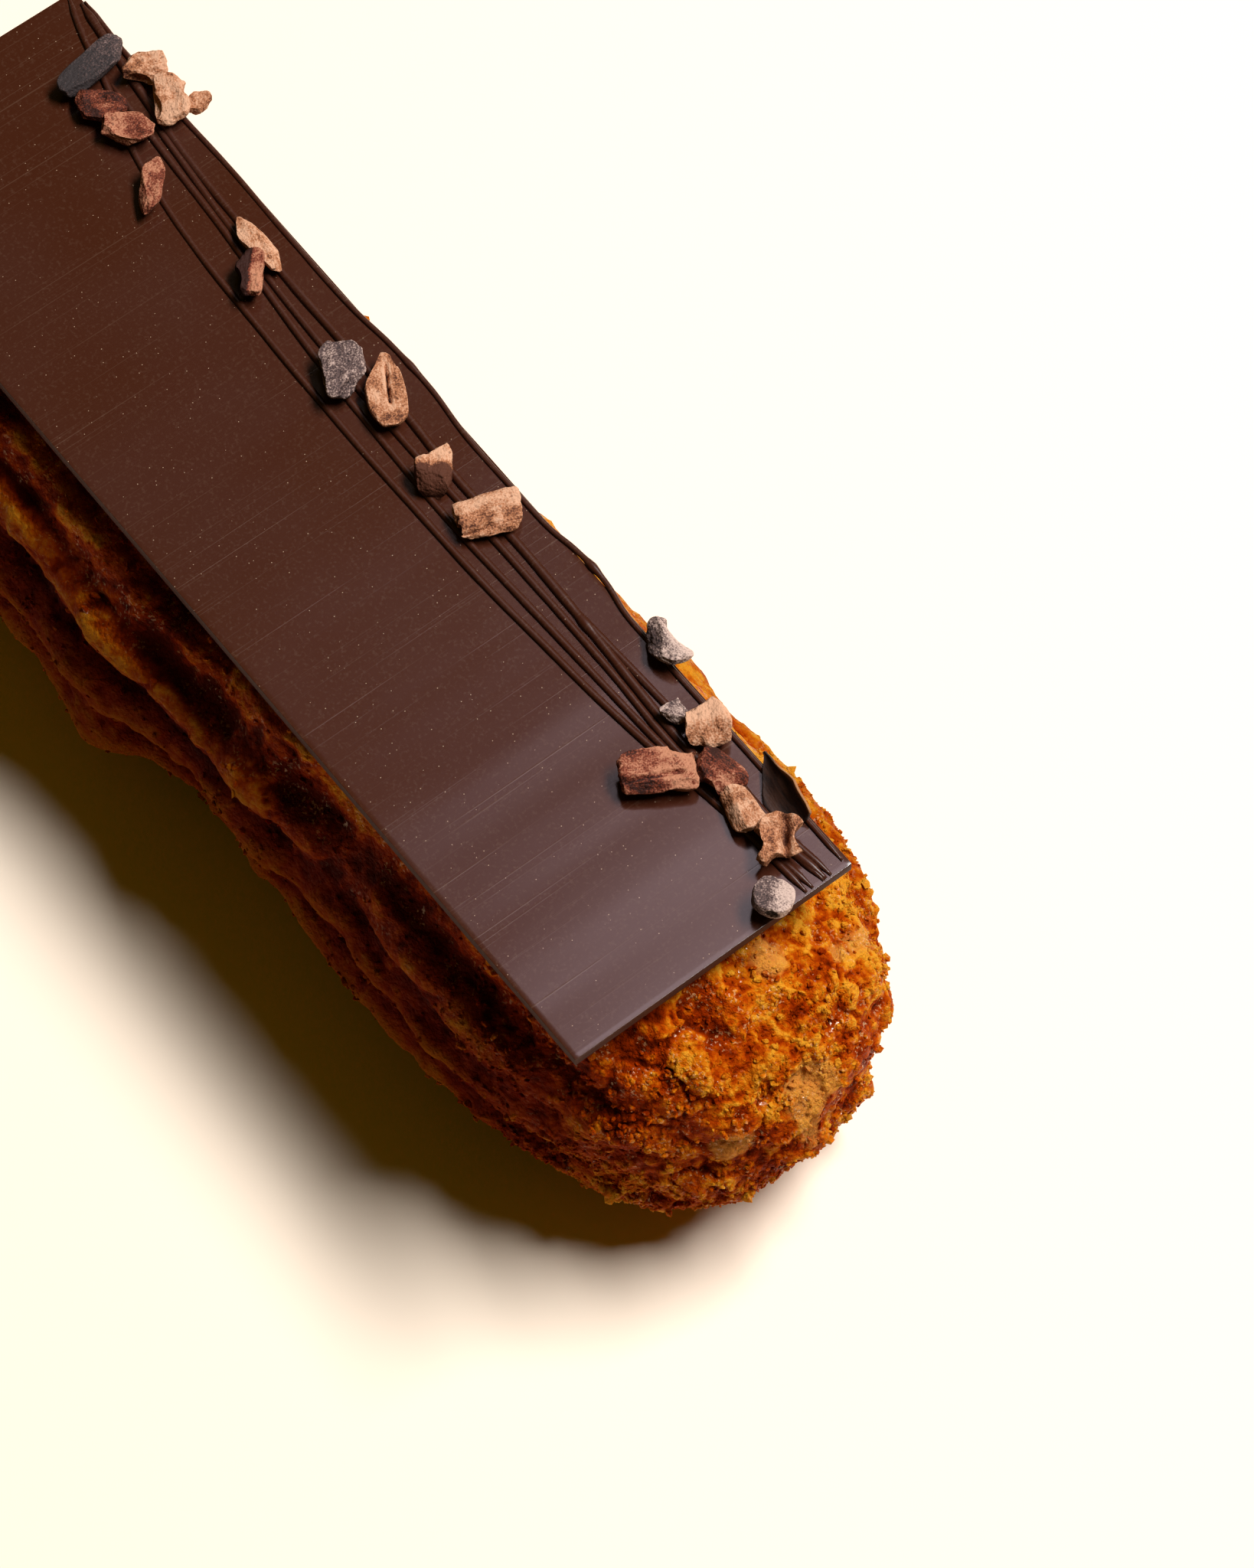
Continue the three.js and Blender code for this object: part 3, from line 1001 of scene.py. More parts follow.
@dataclass(frozen=True)
class PlaqueFrame:
    """Where the plaque lies and how large it is, in millimetres and radians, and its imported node."""

    node: str
    centre: Vector
    turn: float
    length: float
    width: float
    thickness: float

    @classmethod
    def of_node(cls, node: str) -> "PlaqueFrame":
        """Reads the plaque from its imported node, whose lowest face is the plaque's underside.

        Args:
            node: The node's name.

        Returns:
            The plaque's frame.
        """
        points = points_of(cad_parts[node].data)
        level = points[:, 2].min()
        under = np.unique(np.round(points[points[:, 2] < level + TOUCH], 3), axis=0)
        far, near = np.split(under[np.argsort(under[:, 0])], 2)
        along = near.mean(0) - far.mean(0)
        over_corner = np.linalg.norm(points[:, :2] - near[0, :2], axis=1) < 0.01
        top = points[over_corner, 2].max()
        middle = under.mean(0)
        return cls(
            node=node,
            centre=Vector((middle[0], middle[1], top)),
            turn=math.atan2(along[1], along[0]),
            length=float(np.linalg.norm(along)),
            width=float(np.linalg.norm(near[0] - near[1])),
            thickness=float(top - level),
        )

    def matrix(self) -> Matrix:
        """The plaque's own frame in the part's frame."""
        return Matrix.Translation(self.centre) @ Matrix.Rotation(self.turn, 4, "Z")

    def local(self, points: np.ndarray) -> np.ndarray:
        """Turns places in the part's frame into places on the plaque."""
        inverse = np.array(self.matrix().inverted())
        return points @ inverse[:3, :3].T + inverse[:3, 3]

    def outside(self, local: np.ndarray) -> np.ndarray:
        """Measures how far places on the plaque are beyond its edges, below 0 inside them."""
        return (np.abs(local[:, :2]) - (self.length / 2, self.width / 2)).max(1)


# The crust


# The crust's tones run from 0 to 1, and a little past 1 is kept for burnt edges.
TONE_LIMITS: Span = (0.0, 1.1)


@dataclass(frozen=True)
class Spot:
    """A place on the crust with a tone of its own: how far it reaches and how strong it is."""

    at: tuple[float, float, float]
    reach: float
    strength: float
    core: float = 0.4

    def over(self, points: np.ndarray) -> np.ndarray:
        """Reads the spot at some points: its strength in its core, fading out to 0."""
        distance = np.linalg.norm(points - np.array(self.at), axis=1)
        return self.strength * (1 - smooth_step(distance, self.core * self.reach, self.reach))


@dataclass
class Crust:
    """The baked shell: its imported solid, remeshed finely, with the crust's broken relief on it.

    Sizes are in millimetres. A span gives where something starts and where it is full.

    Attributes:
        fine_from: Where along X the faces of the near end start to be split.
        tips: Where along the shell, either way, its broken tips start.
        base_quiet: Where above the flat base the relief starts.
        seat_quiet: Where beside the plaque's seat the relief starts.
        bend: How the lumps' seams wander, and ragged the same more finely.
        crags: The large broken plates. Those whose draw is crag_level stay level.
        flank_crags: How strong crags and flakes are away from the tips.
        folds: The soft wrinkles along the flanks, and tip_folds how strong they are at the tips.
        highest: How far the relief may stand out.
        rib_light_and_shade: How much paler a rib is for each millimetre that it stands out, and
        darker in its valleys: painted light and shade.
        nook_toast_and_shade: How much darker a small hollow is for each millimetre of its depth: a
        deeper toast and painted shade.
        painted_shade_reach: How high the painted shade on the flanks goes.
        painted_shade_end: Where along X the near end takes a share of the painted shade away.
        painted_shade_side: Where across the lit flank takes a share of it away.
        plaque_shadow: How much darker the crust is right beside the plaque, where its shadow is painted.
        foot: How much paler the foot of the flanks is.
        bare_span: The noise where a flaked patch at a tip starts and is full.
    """

    plaque: PlaqueFrame
    node: str = "choux_shell"
    voxel: float = 0.6
    fine_from: float = 42.0
    soften_rounds: int = 5
    tips: Span = (40.0, 58.0)
    base_quiet: Span = (0.3, 2.5)
    seat_quiet: Span = (0.2, 1.2)
    bend: Layer = Layer(2.6, 0.7, 101)
    ragged: Layer = Layer(0.9, 0.3, 161)
    crags: Lumps = Lumps(4.6, 0.85, 102)
    crag_level: float = 0.65
    crag_stretch: float = 0.75
    crag_edge: float = 0.16
    crack_depth: float = 0.35
    flank_crags: float = 0.35
    flakes: Lumps = Lumps(2.3, 0.46, 105)
    flake_level: float = 0.6
    flake_edge: float = 0.25
    folds: Layer = Layer(3.4, 0.55, 117)
    fold_stretch: float = 0.17
    fold_level: float = 0.3
    tip_folds: float = 0.3
    grains: Lumps = Lumps(0.95, 0.26, 109)
    grain_level: float = 0.75
    grain_spread: float = 0.5
    flank_grains: float = 0.6
    pits: Lumps = Lumps(2.9, 0.6, 113)
    pit_share: float = 0.07
    pit_wall: Span = (0.15, 0.42)
    crumble: Layer = Layer(0.5, 0.09, 171)
    jitter: Layer = Layer(1.1, 0.14, 120)
    highest: float = 0.42
    baked: float = 0.5
    patches: Layer = Layer(7.0, 0.27, 131)
    patch_stretch: float = 0.35
    rib_rounds: int = 90
    # Painted light and shade: rib crests paler, the valleys between them darker.
    rib_light_and_shade: float = 0.45
    rib_limits: Span = (-1.2, 1.0)
    nook_rounds: int = 5
    # Small hollows darker: a deeper toast and painted shade.
    nook_toast_and_shade: float = 1.5
    nook_limits: Span = (-0.25, 0.15)
    # Painted shade, low on the flanks and most on the -Y flank, which faces away from the key light.
    painted_shade_reach: Span = (20.0, 36.0)
    painted_shade_end: Span = (40.0, 66.0)
    painted_shade_end_share: float = 0.75
    painted_shade_side: Span = (-8.0, 8.0)
    painted_shade_side_share: float = 0.65
    # The plaque's shadow, painted on the crust in a band beside its -Y edge.
    plaque_shadow: float = 0.3
    plaque_shadow_shade: float = 0.39
    plaque_shadow_start: Span = (-1.0, 0.0)
    plaque_shadow_end: Span = (1.5, 4.5)
    foot: float = 0.3
    foot_reach: Span = (5.0, 16.0)
    # Painted light and shade: paler on the flank facing the key light, darker under the plaque's near
    # corner.
    painted_light_and_shade_spots: tuple[Spot, ...] = (
        Spot((44.0, 20.0, 24.0), 26.0, -0.3),
        Spot((55.0, -11.0, 30.0), 6.5, 0.12),
    )
    bare_patches: Layer = Layer(6.5, 1.0, 141)
    bare_span: Span = (0.62, 0.95)
    bare_spots: tuple[Spot, ...] = (
        Spot((64.6, 1.0, 22.6), 4.0, 1.0),
        Spot((64.6, -7.2, 21.7), 3.0, 0.9),
        Spot((56.2, 4.3, 31.8), 3.0, 0.9),
    )

    def quiet(self, points: np.ndarray) -> np.ndarray:
        """Works out where the relief dies out.

        Args:
            points: The shell's vertices.

        Returns:
            0 on the flat base and under the plaque, 1 elsewhere.
        """
        local = self.plaque.local(points)
        below = -self.plaque.thickness - local[:, 2]
        clear = np.maximum(self.plaque.outside(local), below)
        return smooth_step(points[:, 2], *self.base_quiet) * smooth_step(clear, *self.seat_quiet)

    def relief(self, points: np.ndarray) -> np.ndarray:
        """Works out how far each point of the shell moves out.

        Args:
            points: The shell's vertices.

        Returns:
            Millimetres, above 0 outwards.
        """
        tip = smooth_step(np.abs(points[:, 0]), *self.tips)
        bent = points + self.bend.shifts(points) + self.ragged.shifts(points)
        first, second, draw = self.crags.near(bent * (self.crag_stretch, 1, 1))
        step = smooth_step(second - first, 0.0, self.crag_edge)
        crags = self.crags.depth * (draw - self.crag_level) * step - self.crack_depth * (1 - step)
        first, second, draw = self.flakes.near(bent)
        step = smooth_step(second - first, 0.0, self.flake_edge)
        crags += self.flakes.depth * (draw - self.flake_level) * step
        rise = between(self.flank_crags, 1, tip) * crags
        folds = np.abs(self.folds.over(bent * (self.fold_stretch, 1, 1)))
        rise += between(1, self.tip_folds, tip) * (self.fold_level * self.folds.height - folds)
        first, _, draw = self.grains.near(points)
        grains = self.grains.depth * (self.grain_level - first + self.grain_spread * (draw - 0.5))
        rise += between(self.flank_grains, 1, tip) * grains
        first, _, draw = self.pits.near(bent)
        sunk = (draw < self.pit_share) * (1 - smooth_step(first, *self.pit_wall))
        rise -= tip * self.pits.depth * sunk
        return np.minimum(rise, self.highest) + tip * self.crumble.over(points)

    def remeshed(self) -> bpy.types.Object:
        """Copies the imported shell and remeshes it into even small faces.

        Returns:
            The remeshed copy.
        """
        copied = bpy.data.meshes.new("crust_copy")
        bm = bmesh.new()
        bm.from_mesh(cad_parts[self.node].data)
        bmesh.ops.remove_doubles(bm, verts=bm.verts, dist=TOUCH * MM)
        bm.to_mesh(copied)
        bm.free()
        rough = new_object("crust_copy", copied)
        remesh = rough.modifiers.new("even", "REMESH")
        remesh.mode = "VOXEL"
        remesh.voxel_size = self.voxel * MM
        graph = bpy.context.evaluated_depsgraph_get()
        even = bpy.data.meshes.new_from_object(rough.evaluated_get(graph))
        bpy.data.objects.remove(rough)
        return new_object("crust", even)

    def soften(self, mesh: bpy.types.Mesh) -> None:
        """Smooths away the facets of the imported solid, but for its base and its seat.

        Args:
            mesh: The crust's mesh.
        """
        loose = self.quiet(points_of(mesh)) > 0.5
        with edited(mesh) as bm:
            verts = [vert for vert in bm.verts if loose[vert.index]]
            for _ in range(self.soften_rounds):
                bmesh.ops.smooth_vert(
                    bm, verts=verts, factor=0.5, use_axis_x=True, use_axis_y=True, use_axis_z=True
                )

    def refine(self, mesh: bpy.types.Mesh) -> None:
        """Splits the faces of the near end in four, but for its base and its seat.

        Args:
            mesh: The crust's mesh.
        """
        points = points_of(mesh)
        chosen = (points[:, 0] > self.fine_from) & (self.quiet(points) > 0.5)
        with edited(mesh) as bm:
            edges = [edge for edge in bm.edges if all(chosen[vert.index] for vert in edge.verts)]
            bmesh.ops.subdivide_edges(bm, edges=edges, cuts=1, use_grid_fill=True)

    def thin_flats(self, mesh: bpy.types.Mesh) -> None:
        """Joins the small faces of the flat base and of the flat seat under the plaque.

        Args:
            mesh: The crust's mesh.
        """
        still = self.quiet(points_of(mesh)) == 0
        with edited(mesh) as bm:
            verts = [vert for vert in bm.verts if still[vert.index]]
            edges = [edge for edge in bm.edges if all(still[vert.index] for vert in edge.verts)]
            bmesh.ops.dissolve_limit(bm, angle_limit=math.radians(1), verts=verts, edges=edges)

    def painted_shade_at(self, points: np.ndarray, plaque_shadow: np.ndarray) -> np.ndarray:
        """Works out how much painted shade the crust gets.

        Args:
            points: The crust's vertices.
            plaque_shadow: How much each is in the band beside the plaque, where its shadow is painted.

        Returns:
            0 where no shade is painted, up to 1 low on the flanks.
        """
        painted_shade = 1 - smooth_step(points[:, 2], *self.painted_shade_reach)
        painted_shade *= 1 - self.painted_shade_end_share * smooth_step(points[:, 0], *self.painted_shade_end)
        painted_shade *= 1 - self.painted_shade_side_share * smooth_step(points[:, 1], *self.painted_shade_side)
        return np.maximum(painted_shade, self.plaque_shadow_shade * plaque_shadow)

    def tones(self, mesh: bpy.types.Mesh) -> None:
        """Stores how toasted and how bare each vertex is, and how much painted shade it gets.

        Args:
            mesh: The crust's mesh.
        """
        points = points_of(mesh)
        flank = 1 - smooth_step(points[:, 0], *self.tips)
        beside = -self.plaque.local(points)[:, 1] - self.plaque.width / 2
        # The band beside the plaque where its shadow is painted.
        plaque_shadow = smooth_step(beside, *self.plaque_shadow_start) * (1 - smooth_step(beside, *self.plaque_shadow_end)) * flank
        toast = self.baked + self.patches.over(points * (self.patch_stretch, 1, 1))
        # Painted light and shade from the spots.
        toast += sum(spot.over(points) for spot in self.painted_light_and_shade_spots)
        # Painted light and shade: rib crests paler, their valleys darker.
        toast -= self.rib_light_and_shade * np.clip(proudness(mesh, self.rib_rounds), *self.rib_limits)
        # Small hollows darker: a deeper toast and painted shade.
        toast -= self.nook_toast_and_shade * np.clip(proudness(mesh, self.nook_rounds), *self.nook_limits)
        # Painted shadow of the plaque beside its edge.
        toast += self.plaque_shadow * plaque_shadow
        toast -= self.foot * (1 - smooth_step(points[:, 2], *self.foot_reach)) * flank
        bare = smooth_step(self.bare_patches.over(points), *self.bare_span)
        bare *= smooth_step(np.abs(points[:, 0]), *self.tips)
        bare += sum(spot.over(points) for spot in self.bare_spots)
        for name, values in (("toast", toast), ("bare", bare), ("painted_shade", self.painted_shade_at(points, plaque_shadow))):
            set_values(mesh, name, np.clip(values, *TONE_LIMITS))

    def build(self, material: bpy.types.Material) -> bpy.types.Object:
        """Builds and dresses the crust.

        Args:
            material: The choux finish.

        Returns:
            The crust.
        """
        crust = self.remeshed()
        mesh = crust.data
        self.soften(mesh)
        self.refine(mesh)
        points = points_of(mesh)
        quiet = self.quiet(points)[:, None]
        moved = points + quiet * self.relief(points)[:, None] * normals_of(mesh)
        set_points(mesh, moved + quiet * self.jitter.shifts(points))
        self.thin_flats(mesh)
        mesh.shade_smooth()
        self.tones(mesh)
        return dress(crust, material, [self.node])


@dataclass(frozen=True)
class Crumbs:
    """Loose and half-sunk crumbs of one kind, scattered over the crust. Sizes are in millimetres.

    Attributes:
        toast_shift: How much darker than the crust they are.
        sink: How deep each sits in the crust, as a share of its size.
        clusters: Where they gather. Between the clusters lie as few as sparse says.
        ends: Where along the shell, either way, they get many.
        under: How deep below the plaque's top its own strip reaches.
        rim_facing: Which way, across and up, the plaque's long side faces that stays clear of them.
        rim_end: Where along the plaque the clear side ends.
        stretch: The least and the most that a crumb is stretched along each axis.
        lumpy: The least and the most that each of its corners is moved out.
    """

    name: str
    count: int
    sizes: Span
    toast_shift: float
    seed: int
    sink: float = 0.35
    clusters: Layer = Layer(5.0, 1.0, 151)
    cluster_span: Span = (-0.3, 0.5)
    sparse: float = 0.35
    ends: Span = (35.0, 50.0)
    flank_share: float = 0.15
    lowest: float = 0.9
    under: float = 2.0
    rim_facing: tuple[float, float] = (0.94, 0.34)
    rim_clear: float = 0.5
    rim_end: float = 38.0
    stretch: Span = (0.4, 1.4)
    lumpy: Span = (0.6, 1.3)
    tone_spread: float = 0.08
    bare_share: float = 0.7

    def grain(self) -> tuple[np.ndarray, np.ndarray]:
        """Makes one round grain.

        Returns:
            Its vertices and its faces.
        """
        bm = bmesh.new()
        bmesh.ops.create_icosphere(bm, subdivisions=1, radius=1)
        verts = np.array([vert.co for vert in bm.verts])
        faces = np.array([[vert.index for vert in face.verts] for face in bm.faces])
        bm.free()
        return verts, faces

    def weights(self, middle: np.ndarray, plaque: PlaqueFrame) -> np.ndarray:
        """Works out how thickly the crumbs lie.

        Args:
            middle: The middles of the crust's faces.
            plaque: The plaque, under which no crumb goes.

        Returns:
            A weight for each face's area, 0 where no crumb may lie.
        """
        local = plaque.local(middle)
        covered = (plaque.outside(local) < 0) & (local[:, 2] > -self.under)
        beside = (local[:, 1:] - (plaque.width / 2, 0)) @ np.array(self.rim_facing)
        covered |= (beside > -self.rim_clear) & (local[:, 0] < self.rim_end)
        weight = self.sparse + smooth_step(self.clusters.over(middle), *self.cluster_span)
        weight *= between(self.flank_share, 1, smooth_step(np.abs(middle[:, 0]), *self.ends))
        weight[covered | (middle[:, 2] < self.lowest)] = 0
        return weight

    def places(self, crust: bpy.types.Mesh, draws: np.random.Generator, plaque: PlaqueFrame
               ) -> tuple[np.ndarray, ...]:
        """Scatters the crumbs' places over the crust.

        Args:
            crust: The crust's mesh.
            draws: The random draws.
            plaque: The plaque's frame.

        Returns:
            The places, the crust's normals there, and its toast, bareness and painted shade there.
        """
        crust.calc_loop_triangles()
        corners = read_rows(crust.loop_triangles, "vertices", 3, np.int32)
        points = points_of(crust)
        a, b, c = (points[corners[:, n]] for n in range(3))
        cross = np.cross(b - a, c - a)
        area = np.linalg.norm(cross, axis=1)
        weight = area * self.weights((a + b + c) / 3, plaque)
        picked = draws.choice(len(area), self.count, p=weight / weight.sum())
        shares = draws.dirichlet((1, 1, 1), self.count)
        at = sum(shares[:, [n]] * points[corners[picked, n]] for n in range(3))
        tones = [values_of(crust, name)[corners[picked]].mean(1) for name in ("toast", "bare", "painted_shade")]
        return at, cross[picked] / area[picked, None], *tones

    def build(self, crust: bpy.types.Mesh, plaque: PlaqueFrame, material: bpy.types.Material
              ) -> bpy.types.Object:
        """Builds and dresses the crumbs as one mesh.

        Args:
            crust: The crust's mesh.
            plaque: The plaque's frame.
            material: The choux finish.

        Returns:
            The crumbs.
        """
        draws = np.random.default_rng(self.seed)
        at, normal, toast, bare, painted_shade = self.places(crust, draws, plaque)
        verts, faces = self.grain()
        size = between(*self.sizes, draws.random(self.count) ** 2)
        shape = verts[None] * draws.uniform(*self.stretch, (self.count, 1, 3))
        shape *= draws.uniform(*self.lumpy, (self.count, len(verts), 1))
        spin = np.linalg.qr(draws.normal(size=(self.count, 3, 3)))[0]
        spin *= np.sign(np.linalg.det(spin))[:, None, None]
        shape = np.einsum("nij,nkj->nki", spin, shape) * (size / 2)[:, None, None]
        centre = at + normal * (size / 2 * (0.5 - self.sink))[:, None]
        all_verts = (shape + centre[:, None]).reshape(-1, 3)
        all_faces = (faces[None] + len(verts) * np.arange(self.count)[:, None, None]).reshape(-1, 3)
        mesh = bpy.data.meshes.new(self.name)
        mesh.from_pydata((all_verts * MM).tolist(), [], all_faces.tolist())
        toast = toast + self.toast_shift + draws.normal(0, self.tone_spread, self.count)
        toast = np.clip(toast, *TONE_LIMITS)
        for name, values in (("toast", toast), ("bare", self.bare_share * bare), ("painted_shade", painted_shade)):
            set_values(mesh, name, np.repeat(values, len(verts)))
        return dress(new_object(self.name, mesh), material)


# The plaque


@dataclass(frozen=True)
class Slab:
    """The thin bar of chocolate. Sizes are in millimetres.

    Attributes:
        edge: The radius of its edges.
        cuts: How often it is divided along and across.
        ripples: The waves of its top, and ripple_stretch how much the place across counts for them.
        end_reach: How far from the ends the waves weaken, down to end_share of themselves.
        highest: How far the top may rise.
    """

    plaque: PlaqueFrame
    edge: float = 0.045
    cuts: tuple[int, int] = (240, 60)
    ripples: tuple[Layer, ...] = (Layer(15.0, 0.08, 201), Layer(6.0, 0.021, 202), Layer(2.4, 0.006, 203))
    ripple_stretch: float = 0.12
    sag: Layer = Layer(40.0, 0.05, 205)
    end_reach: float = 6.0
    end_share: float = 0.35
    highest: float = 0.1

    def build(self, material: bpy.types.Material, cut: bpy.types.Material) -> bpy.types.Object:
        """Builds and dresses the slab.

        Args:
            material: The chocolate finish of its top.
            cut: The duller finish of its cut sides and its underside.

        Returns:
            The slab.
        """
        size = Vector((self.plaque.length, self.plaque.width, self.plaque.thickness))
        bm = bmesh.new()
        bmesh.ops.create_cube(bm, size=1)
        bmesh.ops.scale(bm, vec=size, verts=bm.verts)
        bmesh.ops.translate(bm, vec=(0, 0, -size.z / 2), verts=bm.verts)
        bmesh.ops.bevel(
            bm, geom=bm.edges, offset=self.edge, segments=3, profile=0.5, affect="EDGES", material=-1
        )
        for axis, cuts in enumerate(self.cuts):
            spans = {edge: abs(edge.verts[0].co[axis] - edge.verts[1].co[axis]) for edge in bm.edges}
            long = [edge for edge, span in spans.items() if span > size[axis] / 2]
            bmesh.ops.subdivide_edges(bm, edges=long, cuts=cuts, use_grid_fill=True)
        points = np.array([vert.co for vert in bm.verts])
        drawn_out = points * (1, self.ripple_stretch, 0)
        rise = sum(layer.over(drawn_out) for layer in self.ripples) + self.sag.over(points * (1, 1, 0))
        inner = smooth_step(size.x / 2 - np.abs(points[:, 0]), 0.0, self.end_reach)
        top = smooth_step(points[:, 2], -size.z, 0.0)
        for vert, lift in zip(bm.verts, rise * between(self.end_share, 1, inner) * top):
            vert.co.z += min(lift, self.highest)
        slab = from_bmesh("plaque", bm, self.plaque.matrix())
        dress(slab, material, [self.plaque.node])
        slab.data.materials.append(cut)
        for face in slab.data.polygons:
            face.material_index = int(face.normal.z < 0.5)
        return slab


@dataclass(frozen=True)
class Thread:
    """A piped thread. Sizes are in millimetres.

    Attributes:
        bends: Where it passes, along and across the plaque.
        radius: Its radius.
        seed: Its random draw.
        knots: Where along the plaque it is thicker, and by how much.
    """

    bends: tuple[tuple[float, float], ...]
    radius: float = 0.36
    seed: int = 0
    knots: tuple[tuple[float, float], ...] = ()

    def across(self, along: np.ndarray) -> np.ndarray:
        """Reads the thread's smooth line through its bends.

        Args:
            along: Places along the plaque.

        Returns:
            The thread's place across the plaque at each.
        """
        x, y = np.array(self.bends).T
        slope = np.gradient(y, x)
        at = np.clip(np.searchsorted(x, along) - 1, 0, len(x) - 2)
        run = x[at + 1] - x[at]
        t = (along - x[at]) / run
        start = y[at] * (1 + 2 * t) * (1 - t) ** 2 + slope[at] * run * t * (1 - t) ** 2
        end = y[at + 1] * t * t * (3 - 2 * t) + slope[at + 1] * run * t * t * (t - 1)
        return start + end


@dataclass(frozen=True)
class Piping:
    """All the piped threads and the rim bead. Sizes are in millimetres.

    Attributes:
        lift: How high the threads' middles lie above the plaque.
        tail: How far from its ends a thread thins, down to tail_share of its radius.
        knot_reach: How far a knot spreads along it.
        wander: How it wavers across the plaque.
        swell: How it thickens and thins, and beads the same more finely.
        apart: How far apart in the noise the threads are read.
    """

    plaque: PlaqueFrame
    threads: tuple[Thread, ...]
    lift: float = 0.05
    tail: float = 2.0
    tail_share: float = 0.4
    step: float = 0.5
    sides: int = 14
    knot_reach: float = 0.8
    wander: Layer = Layer(6.0, 0.035, 211)
    swell: Layer = Layer(3.5, 0.06, 221)
    beads: Layer = Layer(1.1, 0.03, 231)
    apart: float = 50.0

    def lay(self, bm: bmesh.types.BMesh, thread: Thread) -> None:
        """Adds one thread to a bmesh.

        Args:
            bm: The bmesh.
            thread: The thread.
        """
        start, end = thread.bends[0][0], thread.bends[-1][0]
        along = np.linspace(start, end, int((end - start) / self.step) + 1)
        probes = np.stack([along, np.full(len(along), self.apart * thread.seed), 0 * along], -1)
        across = thread.across(along) + self.wander.over(probes)
        radii = thread.radius * (1 + self.swell.over(probes) + self.beads.over(probes))
        to_end = np.minimum(along - start, end - along)
        radii *= between(self.tail_share, 1, smooth_step(to_end, 0, self.tail))
        for at, more in thread.knots:
            radii += more * np.exp(-(((along - at) / self.knot_reach) ** 2))
        path = [Vector((x, y, self.lift)) for x, y in zip(along, across)]
        sweep(bm, path, list(radii), self.sides)

    def build(self, material: bpy.types.Material) -> bpy.types.Object:
        """Builds and dresses the threads as one mesh.

        Args:
            material: The chocolate finish of the threads.

        Returns:
            The threads.
        """
        bm = bmesh.new()
        for thread in self.threads:
            self.lay(bm, thread)
        threads = from_bmesh("threads", bm, self.plaque.matrix())
        return dress(threads, material, [self.plaque.node])


# The nibs


class NibTone(Enum):
    """The nibs' three tones, each with its slot in the record."""

    TAN = Slot.NIB_TAN
    BROWN = Slot.NIB_BROWN
    GREY = Slot.NIB_GREY


@dataclass(frozen=True)
class Facet:
    """A flat face broken off a nib.

    Attributes:
        facing: Which way it faces.
        limit: How many half sizes out it lies.
        flatness: How flat it is, 1 for a plane.
    """

    facing: tuple[float, float, float]
    limit: float
    flatness: float = 0.97

    def carve(self, points: np.ndarray) -> np.ndarray:
        """Moves the points beyond the face back to it.

        Args:
            points: The nib's vertices.

        Returns:
            The vertices, carved.
        """
        normal = np.array(self.facing) / np.linalg.norm(self.facing)
        beyond = np.maximum(points @ normal - self.limit, 0)
        return points - self.flatness * beyond[:, None] * normal


@dataclass(frozen=True)
class Bite:
    """A hollow broken out of a nib, in shares of its half sizes: a ball, or a shaft right through."""

    at: tuple[float, float, float]
    radius: float
    through: bool = False

    def carve(self, points: np.ndarray) -> np.ndarray:
        """Moves the points inside the hollow out to its wall.

        Args:
            points: The nib's vertices.

        Returns:
            The vertices, carved.
        """
        away = (points - np.array(self.at)) * (1, 1, not self.through)
        distance = np.maximum(np.linalg.norm(away, axis=1), 1e-6)[:, None]
        return points + away / distance * np.maximum(self.radius - distance, 0)


@dataclass(frozen=True)
class Cleft:
    """A crack in a nib's top, from one place to another, in shares of the nib's half sizes."""

    start: tuple[float, float]
    end: tuple[float, float]
    width: float
    depth: float

    def carve(self, points: np.ndarray) -> np.ndarray:
        """Sinks the points near the crack.

        Args:
            points: The nib's vertices.

        Returns:
            The vertices, carved.
        """
        start = np.array(self.start)
        run = np.array(self.end) - start
        share = np.clip((points[:, :2] - start) @ run / (run @ run), 0, 1)
        distance = np.linalg.norm(points[:, :2] - start - share[:, None] * run, axis=1)
        sunk = self.depth * np.exp(-((distance / self.width) ** 2)) * (points[:, 2] > 0)
        return points - sunk[:, None] * (0, 0, 1)


@dataclass(frozen=True)
class Nib:
    """A broken cocoa bean on the plaque.

    Attributes:
        at: Its place along and across the plaque, in millimetres.
        size: Its length, width and height, in millimetres.
        turn: How far it is turned, in degrees.
        tone: Its tone.
        shade: Its lightness, from 0, dark, to 1, pale.
        paler: How much lighter its +X half and its +Y half are, and how much darker the others: on
        some nibs two tones of their own, on others painted light and shade.
        square: How square it is from above: 2 is round, 8 is nearly a box.
        flats: How many flat faces are broken off it.
        cuts: The faces, hollows and cracks in it.
        lift: How far above the plaque it lies, in millimetres.
        coarse: How rough its surface is, 1 for most.
    """

    at: tuple[float, float]
    size: tuple[float, float, float]
    turn: float
    tone: NibTone
    shade: float = 0.5
    paler: tuple[float, float] = (0.0, 0.0)
    square: float = 2.4
    flats: int = 9
    cuts: tuple[Facet | Bite | Cleft, ...] = ()
    lift: float = 0.0
    coarse: float = 1.0


